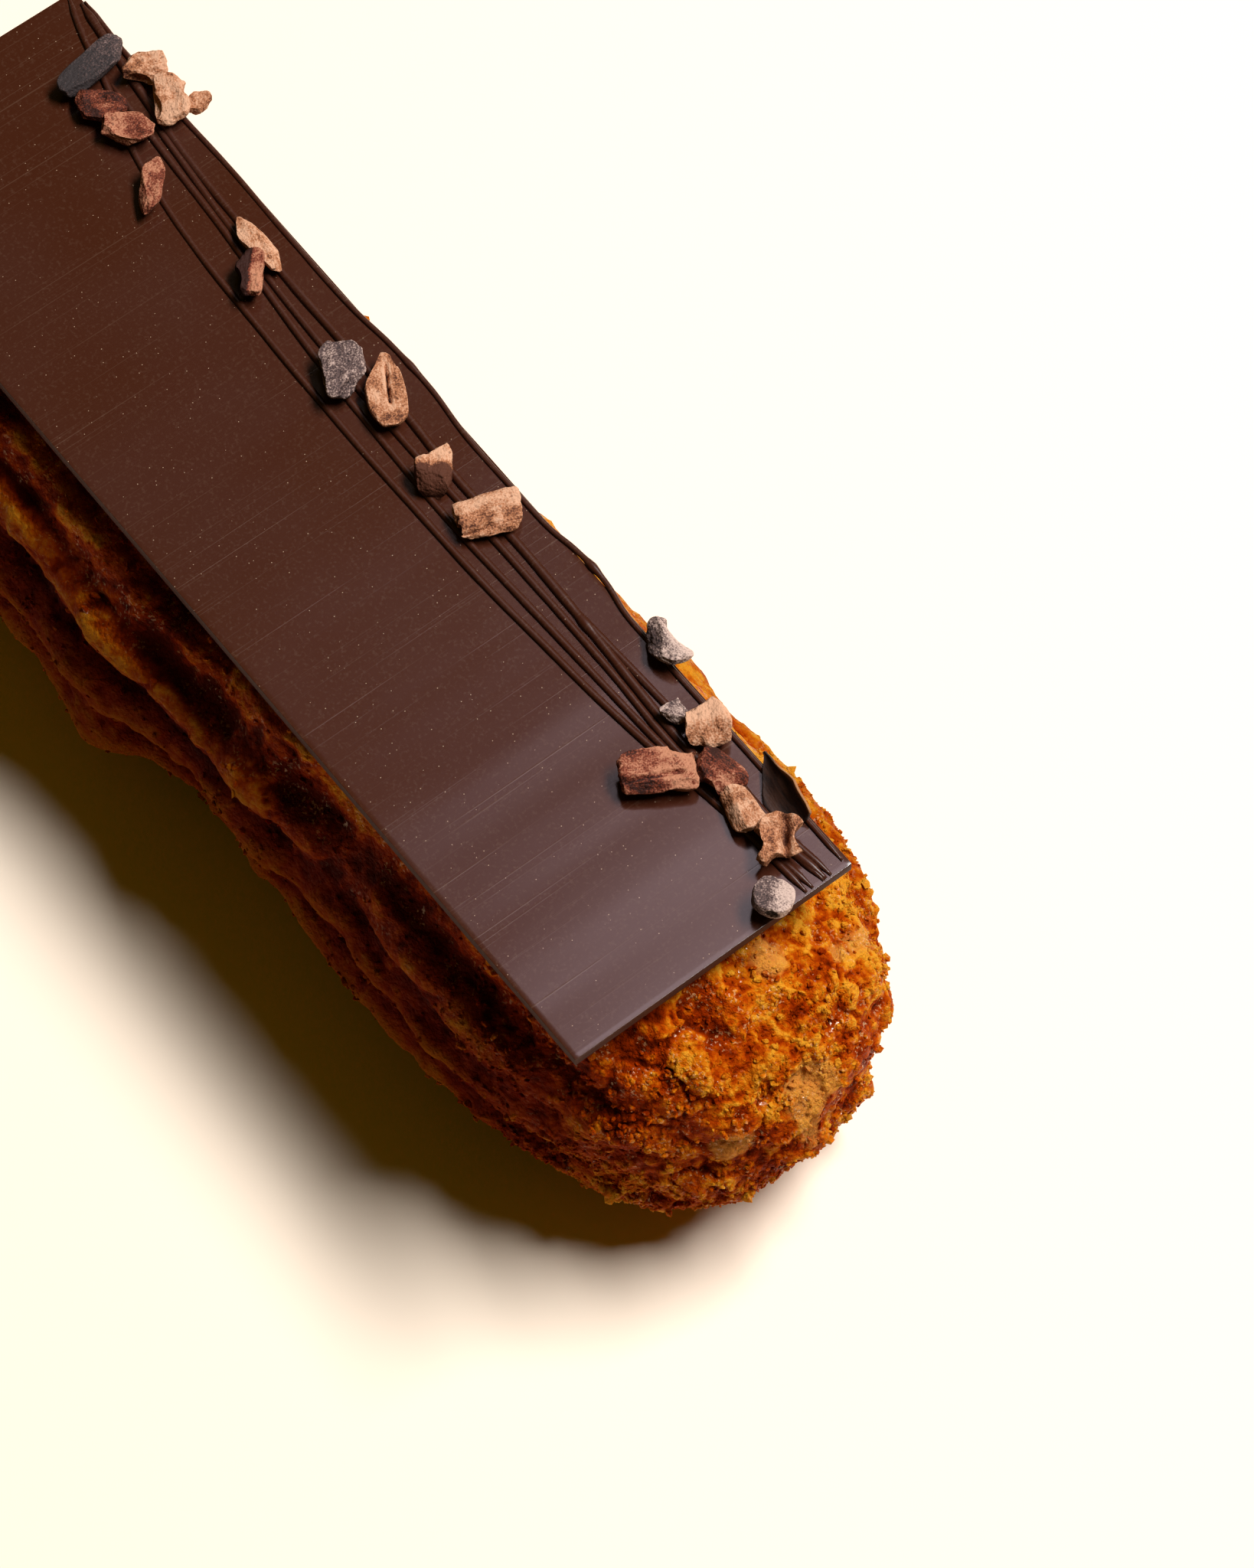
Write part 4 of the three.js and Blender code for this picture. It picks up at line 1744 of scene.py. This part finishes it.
@dataclass
class NibHeap:
    """The nibs of one tone. What shapes a nib is in shares of its half sizes.

    Attributes:
        nibs: The nibs by their random draws.
        sink: How deep a nib sits in the chocolate, in millimetres.
        cuts: How often a nib's blank is divided each way.
        upright: How square a nib is from the side: 2 is round.
        top_flat: How high its flat top lies, and top_tilt how much it leans.
        nearest_flat: How near its middle a flat face may lie, and flat_spread how much farther.
        flat_lean: How much the flat faces look up, and how much that differs.
        square_flat: How much farther out they lie for each step of squareness.
        undercut: How much narrower its foot is.
        terraces: The broken steps of its surface: their size, number and draw.
        apart: How far apart in the noise the nibs are read, and own_apart in their own places.
        half_blend: How wide the seam between a paler and a darker half is.
    """

    name: str
    plaque: PlaqueFrame
    nibs: dict[int, Nib]
    sink: float = 0.2
    cuts: int = 24
    upright: float = 6.0
    top_flat: float = 0.78
    top_tilt: float = 0.12
    nearest_flat: float = 0.66
    flat_spread: float = 0.34
    flat_lean: tuple[float, float] = (0.1, 0.4)
    square_flat: float = 0.03
    undercut: float = 0.42
    undercut_span: Span = (-0.3, 0.9)
    terraces: Layer = Layer(0.5, 3.0, 331)
    terrace_rise: float = 0.02
    terrace_span: Span = (0.3, 0.7)
    rough: tuple[Layer, ...] = (Layer(0.62, 0.08, 301), Layer(0.27, 0.045, 311), Layer(0.12, 0.022, 321))
    apart: float = 10.0
    own_apart: float = 20.0
    half_blend: float = 0.16
    edge_rounds: int = 6
    edge_limits: Span = (-0.12, 0.08)

    def blank(self, bm: bmesh.types.BMesh) -> list[bmesh.types.BMVert]:
        """Adds the finely divided cube that a nib is cut from, of half size 1.

        Args:
            bm: The bmesh that gets it.

        Returns:
            Its vertices.
        """
        before = len(bm.verts)
        corners = bmesh.ops.create_cube(bm, size=2)["verts"]
        edges = list({edge for vert in corners for edge in vert.link_edges})
        bmesh.ops.subdivide_edges(bm, edges=edges, cuts=self.cuts, use_grid_fill=True)
        bm.verts.ensure_lookup_table()
        return bm.verts[before:]

    def shape(self, points: np.ndarray, nib: Nib, seed: int) -> np.ndarray:
        """Breaks a blank into a nib.

        Args:
            points: The blank's vertices, within a half size of 1.
            nib: The nib.
            seed: Which random draws to make.

        Returns:
            The vertices in the nib's own frame, in millimetres, with its underside at the plaque.
        """
        level = (np.abs(points[:, :2]) ** nib.square).sum(1) ** (self.upright / nib.square)
        reach = (level + np.abs(points[:, 2]) ** self.upright) ** (1 / self.upright)
        points = points / reach[:, None]
        draws = np.random.default_rng(seed)
        facets = [Facet((*draws.normal(0, self.top_tilt, 2), 1.0), self.top_flat)]
        nearest = self.nearest_flat + self.square_flat * (nib.square - 2)
        for _ in range(nib.flats):
            angle = draws.uniform(0, math.tau)
            limit = nearest + self.flat_spread * draws.random()
            facets.append(Facet((math.cos(angle), math.sin(angle), draws.normal(*self.flat_lean)), limit))
        for cut in (*facets, *nib.cuts):
            points = cut.carve(points)
        points[:, :2] *= 1 - self.undercut * smooth_step(-points[:, [2]], *self.undercut_span)
        shifted = points + self.apart * seed
        steps = self.terraces.over(shifted)
        swell = self.terrace_rise * (np.floor(steps) + smooth_step(steps % 1, *self.terrace_span))
        swell += sum(layer.over(shifted) for layer in self.rough)
        points = points * (1 + nib.coarse * swell[:, None])
        low, high = points.min(0), points.max(0)
        points = (points - (low + high) / 2) / (high - low) * np.array(nib.size)
        points[:, 2] += nib.size[2] / 2 + nib.lift - self.sink
        return points

    def build(self, material: bpy.types.Material, slot: Slot) -> bpy.types.Object:
        """Builds and dresses the nibs of this tone as one mesh.

        Args:
            material: Their finish.
            slot: Their slot in the record; not used.

        Returns:
            The nibs.
        """
        bm = bmesh.new()
        own_place = bm.verts.layers.float_vector.new("own_place")
        shade = bm.verts.layers.float.new("shade")
        for seed, nib in self.nibs.items():
            verts = self.blank(bm)
            points = self.shape(np.array([vert.co for vert in verts]), nib, seed)
            lie = Matrix.Translation((*nib.at, 0)) @ Matrix.Rotation(math.radians(nib.turn), 4, "Z")
            halves = smooth_step(points[:, :2] / np.array(nib.size[:2]), -self.half_blend, self.half_blend)
            shades = nib.shade + (2 * halves - 1) @ np.array(nib.paler)
            for vert, point, own_shade in zip(verts, points, shades):
                vert[own_place] = (Vector(point) + Vector((self.own_apart * seed, 0, 0))) * MM
                vert[shade] = own_shade
                vert.co = lie @ Vector(point)
        heap = from_bmesh(self.name, bm, self.plaque.matrix())
        edges = np.clip(proudness(heap.data, self.edge_rounds), *self.edge_limits)
        set_values(heap.data, "edge", edges)
        return dress(heap, material, [self.plaque.node])


@dataclass(frozen=True)
class Husk:
    """The curled shard of husk. Sizes are in millimetres and angles in degrees.

    Attributes:
        at: Its place along and across the plaque.
        cup: How far its long edges curl up, and arch how far its ends bend down.
        tip: Its width at its tip, as a share, and heel at its other end.
        shoulder: Where along it, as a share, it is widest.
        crumple: How crumpled it is, and crumple_flat how much of that is sideways.
        backlit_rim_across: Where across it, as a share, its amber rim of painted light starts and is full.
    """

    plaque: PlaqueFrame
    at: tuple[float, float] = (48.4, 14.4)
    length: float = 7.6
    width: float = 4.0
    thickness: float = 0.35
    cells: tuple[int, int] = (44, 22)
    cup: float = 0.8
    arch: float = 0.5
    tip: float = 0.06
    shoulder: float = 0.6
    heel: float = 0.65
    lean: float = 42.0
    turn: float = -12.0
    sink: float = 0.35
    crumple: Layer = Layer(1.6, 0.18, 341)
    crumple_flat: float = 0.5
    backlit_rim_across: Span = (0.72, 1.0)
    backlit_rim_along: Span = (0.1, 0.4)

    def build(self, material: bpy.types.Material) -> bpy.types.Object:
        """Builds and dresses the husk.

        Args:
            material: The husk's finish.

        Returns:
            The husk.
        """
        bm = bmesh.new()
        bmesh.ops.create_grid(bm, x_segments=self.cells[0], y_segments=self.cells[1], size=1)
        bmesh.ops.scale(bm, vec=(self.length / 2, self.width / 2, 1), verts=bm.verts)
        points = np.array([vert.co for vert in bm.verts])
        along = points[:, 0] / self.length + 0.5
        across = 2 * points[:, 1] / self.width
        widening = np.minimum(1, along / self.shoulder)
        taper = np.maximum(self.tip, widening * (1 - (1 - self.heel) * along**3))
        points[:, 1] *= taper
        points[:, 2] = self.cup * across**2 * taper - self.arch * (2 * along - 1) ** 2
        points += self.crumple.shifts(points) * (self.crumple_flat, self.crumple_flat, 1.0)
        own_place = bm.verts.layers.float_vector.new("own_place")
        backlit_rim = bm.verts.layers.float.new("backlit_rim")
        # The rim where light shining through is painted amber.
        rim = smooth_step(across, *self.backlit_rim_across) * smooth_step(along, *self.backlit_rim_along)
        for vert, point, share in zip(bm.verts, points, rim):
            vert.co = point
            vert[own_place] = Vector(point) * MM
            vert[backlit_rim] = share
        bmesh.ops.solidify(bm, geom=bm.faces, thickness=self.thickness)
        bmesh.ops.recalc_face_normals(bm, faces=bm.faces)
        lean = Matrix.Rotation(math.radians(self.lean), 4, "X")
        bmesh.ops.transform(bm, matrix=lean, verts=bm.verts)
        lowest = min(vert.co.z for vert in bm.verts)
        place = Matrix.Translation((*self.at, -lowest - self.sink))
        place = self.plaque.matrix() @ place @ Matrix.Rotation(math.radians(self.turn), 4, "Z")
        return dress(from_bmesh("husk", bm, place), material, [self.plaque.node])


# The studio


@dataclass(frozen=True)
class Studio:
    """A pale table, soft light and the camera. Lengths are in metres and angles in degrees."""

    floor_size: float = 4.0
    key_at: tuple[float, float, float] = (0.212, 0.420, 0.882)
    key_size: tuple[float, float] = (0.554, 0.206)
    key_power: float = 16.5
    sheen_at: tuple[float, float, float] = (-0.15, 0.29, 0.94)
    sheen_size: tuple[float, float] = (0.25, 0.25)
    sheen_power: float = 0.85
    sheen_tint: Colour = (1.0, 0.82, 0.92)
    fill: Colour = (0.050, 0.033, 0.0012)
    target: tuple[float, float, float] = (0.03733, 0.00390, 0.0362)
    azimuth: float = 49.42
    elevation: float = 62.91
    distance: float = 0.46319
    lens: float = 123.05
    sensor: float = 36.0

    def floor(self) -> None:
        """Lays the table top."""
        bm = bmesh.new()
        bmesh.ops.create_grid(bm, x_segments=1, y_segments=1, size=self.floor_size / 2 / MM)
        table = from_bmesh("floor", bm, Matrix.Identity(4))
        table.data.materials.append(FloorFinish("floor").build())

    def softbox(
        self, name: str, at: tuple[float, float, float], size: tuple[float, float], power: float
    ) -> bpy.types.Object:
        """Hangs a level, rectangular light that faces the eclair.

        Args:
            name: Its name.
            at: Its place in metres.
            size: Its width and its height in metres.
            power: Its power in watts.

        Returns:
            The light.
        """
        lamp = bpy.data.lights.new(name, "AREA")
        lamp.shape = "RECTANGLE"
        lamp.size, lamp.size_y = size
        lamp.energy = power
        hung = new_object(name, lamp)
        hung.location = at
        hung.rotation_euler = Vector(at).to_track_quat("Z", "Y").to_euler()
        return hung

    def light(self) -> None:
        """Hangs the key light and the one that the plaque only mirrors, and sets the faint warm fill."""
        self.softbox("key", self.key_at, self.key_size, self.key_power)
        sheen = self.softbox("sheen", self.sheen_at, self.sheen_size, self.sheen_power)
        sheen.data.color = self.sheen_tint
        sheen.visible_diffuse = False
        world = bpy.data.worlds.new("room")
        world.use_nodes = True
        world.node_tree.nodes["Background"].inputs["Color"].default_value = (*self.fill, 1.0)
        bpy.context.scene.world = world

    def camera(self) -> None:
        """Sets the camera to the photograph's place."""
        eye = bpy.data.cameras.new("camera")
        eye.lens = self.lens
        eye.sensor_width = self.sensor
        eye.clip_start = 0.01
        held = new_object("camera", eye)
        azimuth, elevation = math.radians(self.azimuth), math.radians(self.elevation)
        back = Vector((
            math.sin(azimuth) * math.cos(elevation),
            -math.cos(azimuth) * math.cos(elevation),
            math.sin(elevation),
        ))
        held.location = Vector(self.target) + self.distance * back
        held.rotation_euler = back.to_track_quat("Z", "Y").to_euler()
        bpy.context.scene.camera = held

    def build(self) -> None:
        """Builds the whole studio and sets how light becomes colour."""
        self.floor()
        self.light()
        self.camera()
        bpy.context.scene.view_settings.view_transform = "Standard"


# The piped threads, from the innermost out, and the rim bead last. They branch from one line near
# the -X end, fan out, and draw together again near the +X end.
THREADS = (
    Thread(((-57.4, 14.2), (-53.5, 12.9), (-47, 11.2), (-39.5, 8.9), (-33, 7.8), (-15, 6.7), (5, 6.5),
            (17, 6.75), (25, 7.2), (35, 7.95), (44, 9.1), (57.5, 10.9)), seed=1),
    Thread(((-47, 11.6), (-28, 10.4), (-11, 8.9), (0, 8.4), (10, 8.2), (24, 8.6), (38, 9.1), (57.5, 10.2)),
           seed=2),
    Thread(((-41, 12.2), (-20, 10.5), (0, 9.95), (17, 10.2), (30, 10.15), (40, 9.9), (48, 10.9),
            (57.5, 12.1)), seed=3),
    Thread(((-56, 14.7), (-48, 13.7), (-38.3, 12.6), (-20, 11.9), (-1, 11.75), (7, 11.3), (14, 11.55),
            (25, 11.3), (41, 10.7), (50, 11.2), (57.5, 12.3)), radius=0.44, seed=4, knots=((25.2, 0.14),)),
    Thread(((23, 11.4), (36, 11.95), (43, 12.2), (50, 12.1), (57.5, 12.9)), seed=5),
    Thread(((-56, 15.05), (-46, 14.6), (-34, 14.8), (-22, 14.6), (-12, 14.75), (-9, 15.05), (-2, 15.1),
            (2, 14.7), (12, 14.65), (16, 14.75), (18.5, 15.15), (23.5, 15.2), (26, 14.75), (30, 14.6),
            (46, 14.6), (57, 14.5)), radius=0.26, seed=6, knots=((-5.5, 0.1), (21, 0.15))),
)

# The nibs by their random draws, from the -X end to the +X end.
TAN, BROWN, GREY = NibTone
NIBS = {
    1: Nib((-48.8, 10.9), (8, 2.9, 2.4), -80, GREY, 0.12, paler=(-0.12, 0), square=4.0, flats=2, coarse=0.5),
    2: Nib((-45.8, 14.8), (4.3, 3.4, 2.5), 50, TAN, 0.66, paler=(0.2, 0.1), cuts=(
        Bite((-0.3, -1.2, 0.2), 0.8), Bite((-0.2, 1.2, 0), 0.5, through=True))),
    3: Nib((-41.2, 14.6), (5.5, 3.6, 2.7), -28, TAN, 0.86, cuts=(
        Bite((-0.2, 1.2, 0), 0.5, through=True), Bite((0.3, -1.1, 0.6), 0.7), Bite((0.1, 0.1, 1.2), 0.5))),
    4: Nib((-39.6, 16.4), (2.6, 2.2, 1.8), 60, TAN, 0.5, lift=0.2),
    5: Nib((-44.9, 9.1), (5.1, 3.6, 2.3), 48, BROWN, 0.26, flats=11, cuts=(Bite((-0.2, 0.1, 1.3), 0.7),)),
    6: Nib((-41.2, 9.6), (5, 3.7, 2.4), 52, BROWN, 0.72, cuts=(Bite((0.1, -0.2, 1.5), 0.9),)),
    7: Nib((-34.7, 7.5), (6.2, 2.5, 2.3), -49, BROWN, 0.62, square=2.2, flats=4),
    8: Nib((-23.8, 11.6), (7.1, 2.4, 2.1), -4, TAN, 0.8),
    9: Nib((-21.5, 9), (5.1, 2.7, 2.6), -40, BROWN, 0.12, paler=(0.1, 0.62), square=5.0, flats=3, cuts=(
        Bite((0.5, -1.1, 0), 0.6, through=True),)),
    10: Nib((-8, 9.3), (6.2, 4.6, 3), -45, GREY, 0.45, square=2.2, flats=3, coarse=1.5, cuts=(
        Bite((0.2, -0.1, 1.2), 0.5), Bite((0.7, -1.1, 0.3), 0.5))),
    11: Nib((-4.1, 11.3), (7.8, 3.7, 1.7), -26, TAN, 0.5, square=2.5, flats=1, lift=0.5, coarse=0.5, cuts=(
        Bite((-1.05, 1.1, 0), 0.55, through=True), Cleft((-0.6, 0.3), (0.3, 0.12), 0.06, 1.2))),
    12: Nib((5.1, 9.8), (4.6, 3.5, 2.9), -35, TAN, 0.16, paler=(-0.6, 0.05), square=3.5, flats=4, cuts=(
        Facet((1, -0.1, 0.45), 0.35), Bite((1.2, -0.9, 0.3), 0.7), Bite((0.6, 1.2, 0), 0.45, through=True))),
    13: Nib((11.8, 10.9), (6.3, 3.9, 2.5), 68, TAN, 0.64, paler=(0, 0.16), square=7.0, flats=2, cuts=(
        Facet((-0.2, -1, 0.9), 0.75), Bite((-1.15, -0.4, 0), 0.3, through=True),
        Bite((-0.2, -0.35, 1.9), 1.25), Cleft((-0.9, -0.6), (0.9, -0.5), 0.06, 0.2))),
    # Painted light and shade: its half towards the key light paler, the far half darker.
    14: Nib((31.7, 15.3), (5.3, 3.6, 2.8), 12, GREY, 0.72, paler=(0.2, 0.22), square=2.2, flats=0, cuts=(
        Bite((0.3, 1.15, 0), 0.95, through=True), Facet((0.3, 1, 0.8), 0.5),
        Facet((-0.75, -0.6, 0.75), 0.62))),
    15: Nib((40.1, 13.2), (4.4, 4.1, 2.8), -35, TAN, 0.98, paler=(-0.3, 0), square=8.0, flats=2, cuts=(
        Facet((1, 0, 0.9), 0.6), Bite((-1.1, 0.4, 0.4), 0.4))),
    16: Nib((37.2, 11.8), (2.7, 2.2, 2), 30, GREY, 0.68),
    17: Nib((41.1, 6.9), (7.1, 4.4, 2.7), 62, BROWN, 0.70, paler=(0.3, 0.1), square=7.0, flats=3, cuts=(
        Facet((-0.1, -1, 0.7), 0.8), Cleft((-0.9, -0.3), (0.6, -0.2), 0.08, 0.5),
        Bite((0.9, 1.0, 0), 0.5, through=True), Bite((0.3, -1.25, 0), 0.5, through=True))),
    18: Nib((44.4, 11.1), (4.9, 3.7, 2.5), 5, BROWN, 0.42, paler=(0.2, -0.1), flats=6, cuts=(
        Bite((0.2, -1.2, 0), 0.5, through=True),)),
    19: Nib((48.3, 10.4), (4.7, 3.1, 2.4), -8, TAN, 0.86, paler=(0.1, 0), flats=5, cuts=(
        Bite((0.3, 1.1, 0), 0.5, through=True), Facet((-0.2, -1, 0.6), 0.6))),
    20: Nib((52.7, 10.9), (5.2, 4.3, 2.8), -40, TAN, 0.5, flats=4, cuts=(
        Bite((-0.1, 1.15, 0), 0.6, through=True), Bite((0.25, -1.15, 0), 0.65, through=True),
        Bite((1.15, 0.1, 0), 0.5, through=True), Bite((-0.1, -0.1, 1.1), 0.6),
        Cleft((-0.8, 0.2), (0.7, 0.3), 0.16, 0.8))),
    # Painted light and shade: its half towards the key light paler, the far half darker.
    21: Nib((56.8, 7), (3.8, 3.6, 3), 30, GREY, 0.66, paler=(0.25, 0.12), flats=0, lift=0.1, coarse=0.6,
            cuts=(Bite((0.3, -1.1, 0.5), 0.4),)),
}


def build_nibs(plaque: PlaqueFrame, effects: Effects) -> None:
    """Builds the nibs, one mesh for each tone.

    Args:
        plaque: The plaque's frame.
        effects: The shared effects.
    """
    finishes = {
        TAN: NibFinish(
            "nib_tan", effects, flesh=(0.36, 0.137, 0.060), pale=(0.57, 0.31, 0.19),
            dark=(0.075, 0.022, 0.010), blotchy=2.1,
        ),
        BROWN: NibFinish(
            "nib_brown", effects, flesh=(0.175, 0.036, 0.016), pale=(0.43, 0.18, 0.10),
            dark=(0.028, 0.007, 0.004), blotchy=1.8,
        ),
        GREY: NibFinish(
            "nib_grey", effects, flesh=(0.108, 0.065, 0.059), pale=(0.52, 0.37, 0.31),
            dark=(0.027, 0.020, 0.020), fibrous=0.3, blotchy=0.8,
        ),
    }
    for tone, finish in finishes.items():
        chosen = {seed: nib for seed, nib in NIBS.items() if nib.tone is tone}
        NibHeap(finish.name, plaque, chosen).build(finish.build(), tone.value)


def main() -> None:
    """Builds the eclair and the studio round it."""
    logging.basicConfig(level=logging.INFO, format="%(message)s")
    effects = Effects.build()
    plaque = PlaqueFrame.of_node("chocolate_plaque")
    log.info("plaque %.2f x %.2f x %.2f mm, turned %.2f degrees", plaque.length, plaque.width,
             plaque.thickness, math.degrees(plaque.turn))
    choux = ChouxFinish("choux", effects).build()
    crust = Crust(plaque).build(choux)
    for crumbs in (
        Crumbs("crumbs_golden", count=7000, sizes=(0.25, 0.85), toast_shift=-0.14, seed=401),
        Crumbs("crumbs_toasted", count=5000, sizes=(0.25, 0.75), toast_shift=0.0, seed=402),
    ):
        crumbs.build(crust.data, plaque, choux)
    centre = tuple(MM * part for part in plaque.centre)
    glossy = ChocolateFinish("plaque_chocolate", effects, centre, plaque.turn)
    plain = replace(glossy, streaks=0.0, dust_share=0.1)
    cut = replace(plain, name="cut_chocolate", roughness=0.5, sheen=0.08)
    piped = replace(plain, name="thread_chocolate", roughness=0.34, sheen=0.35)
    Slab(plaque).build(glossy.build(), cut.build())
    Piping(plaque, THREADS).build(piped.build())
    build_nibs(plaque, effects)
    Husk(plaque).build(HuskFinish("husk", effects).build())
    Studio().build()


if __name__ == "__main__":
    main()
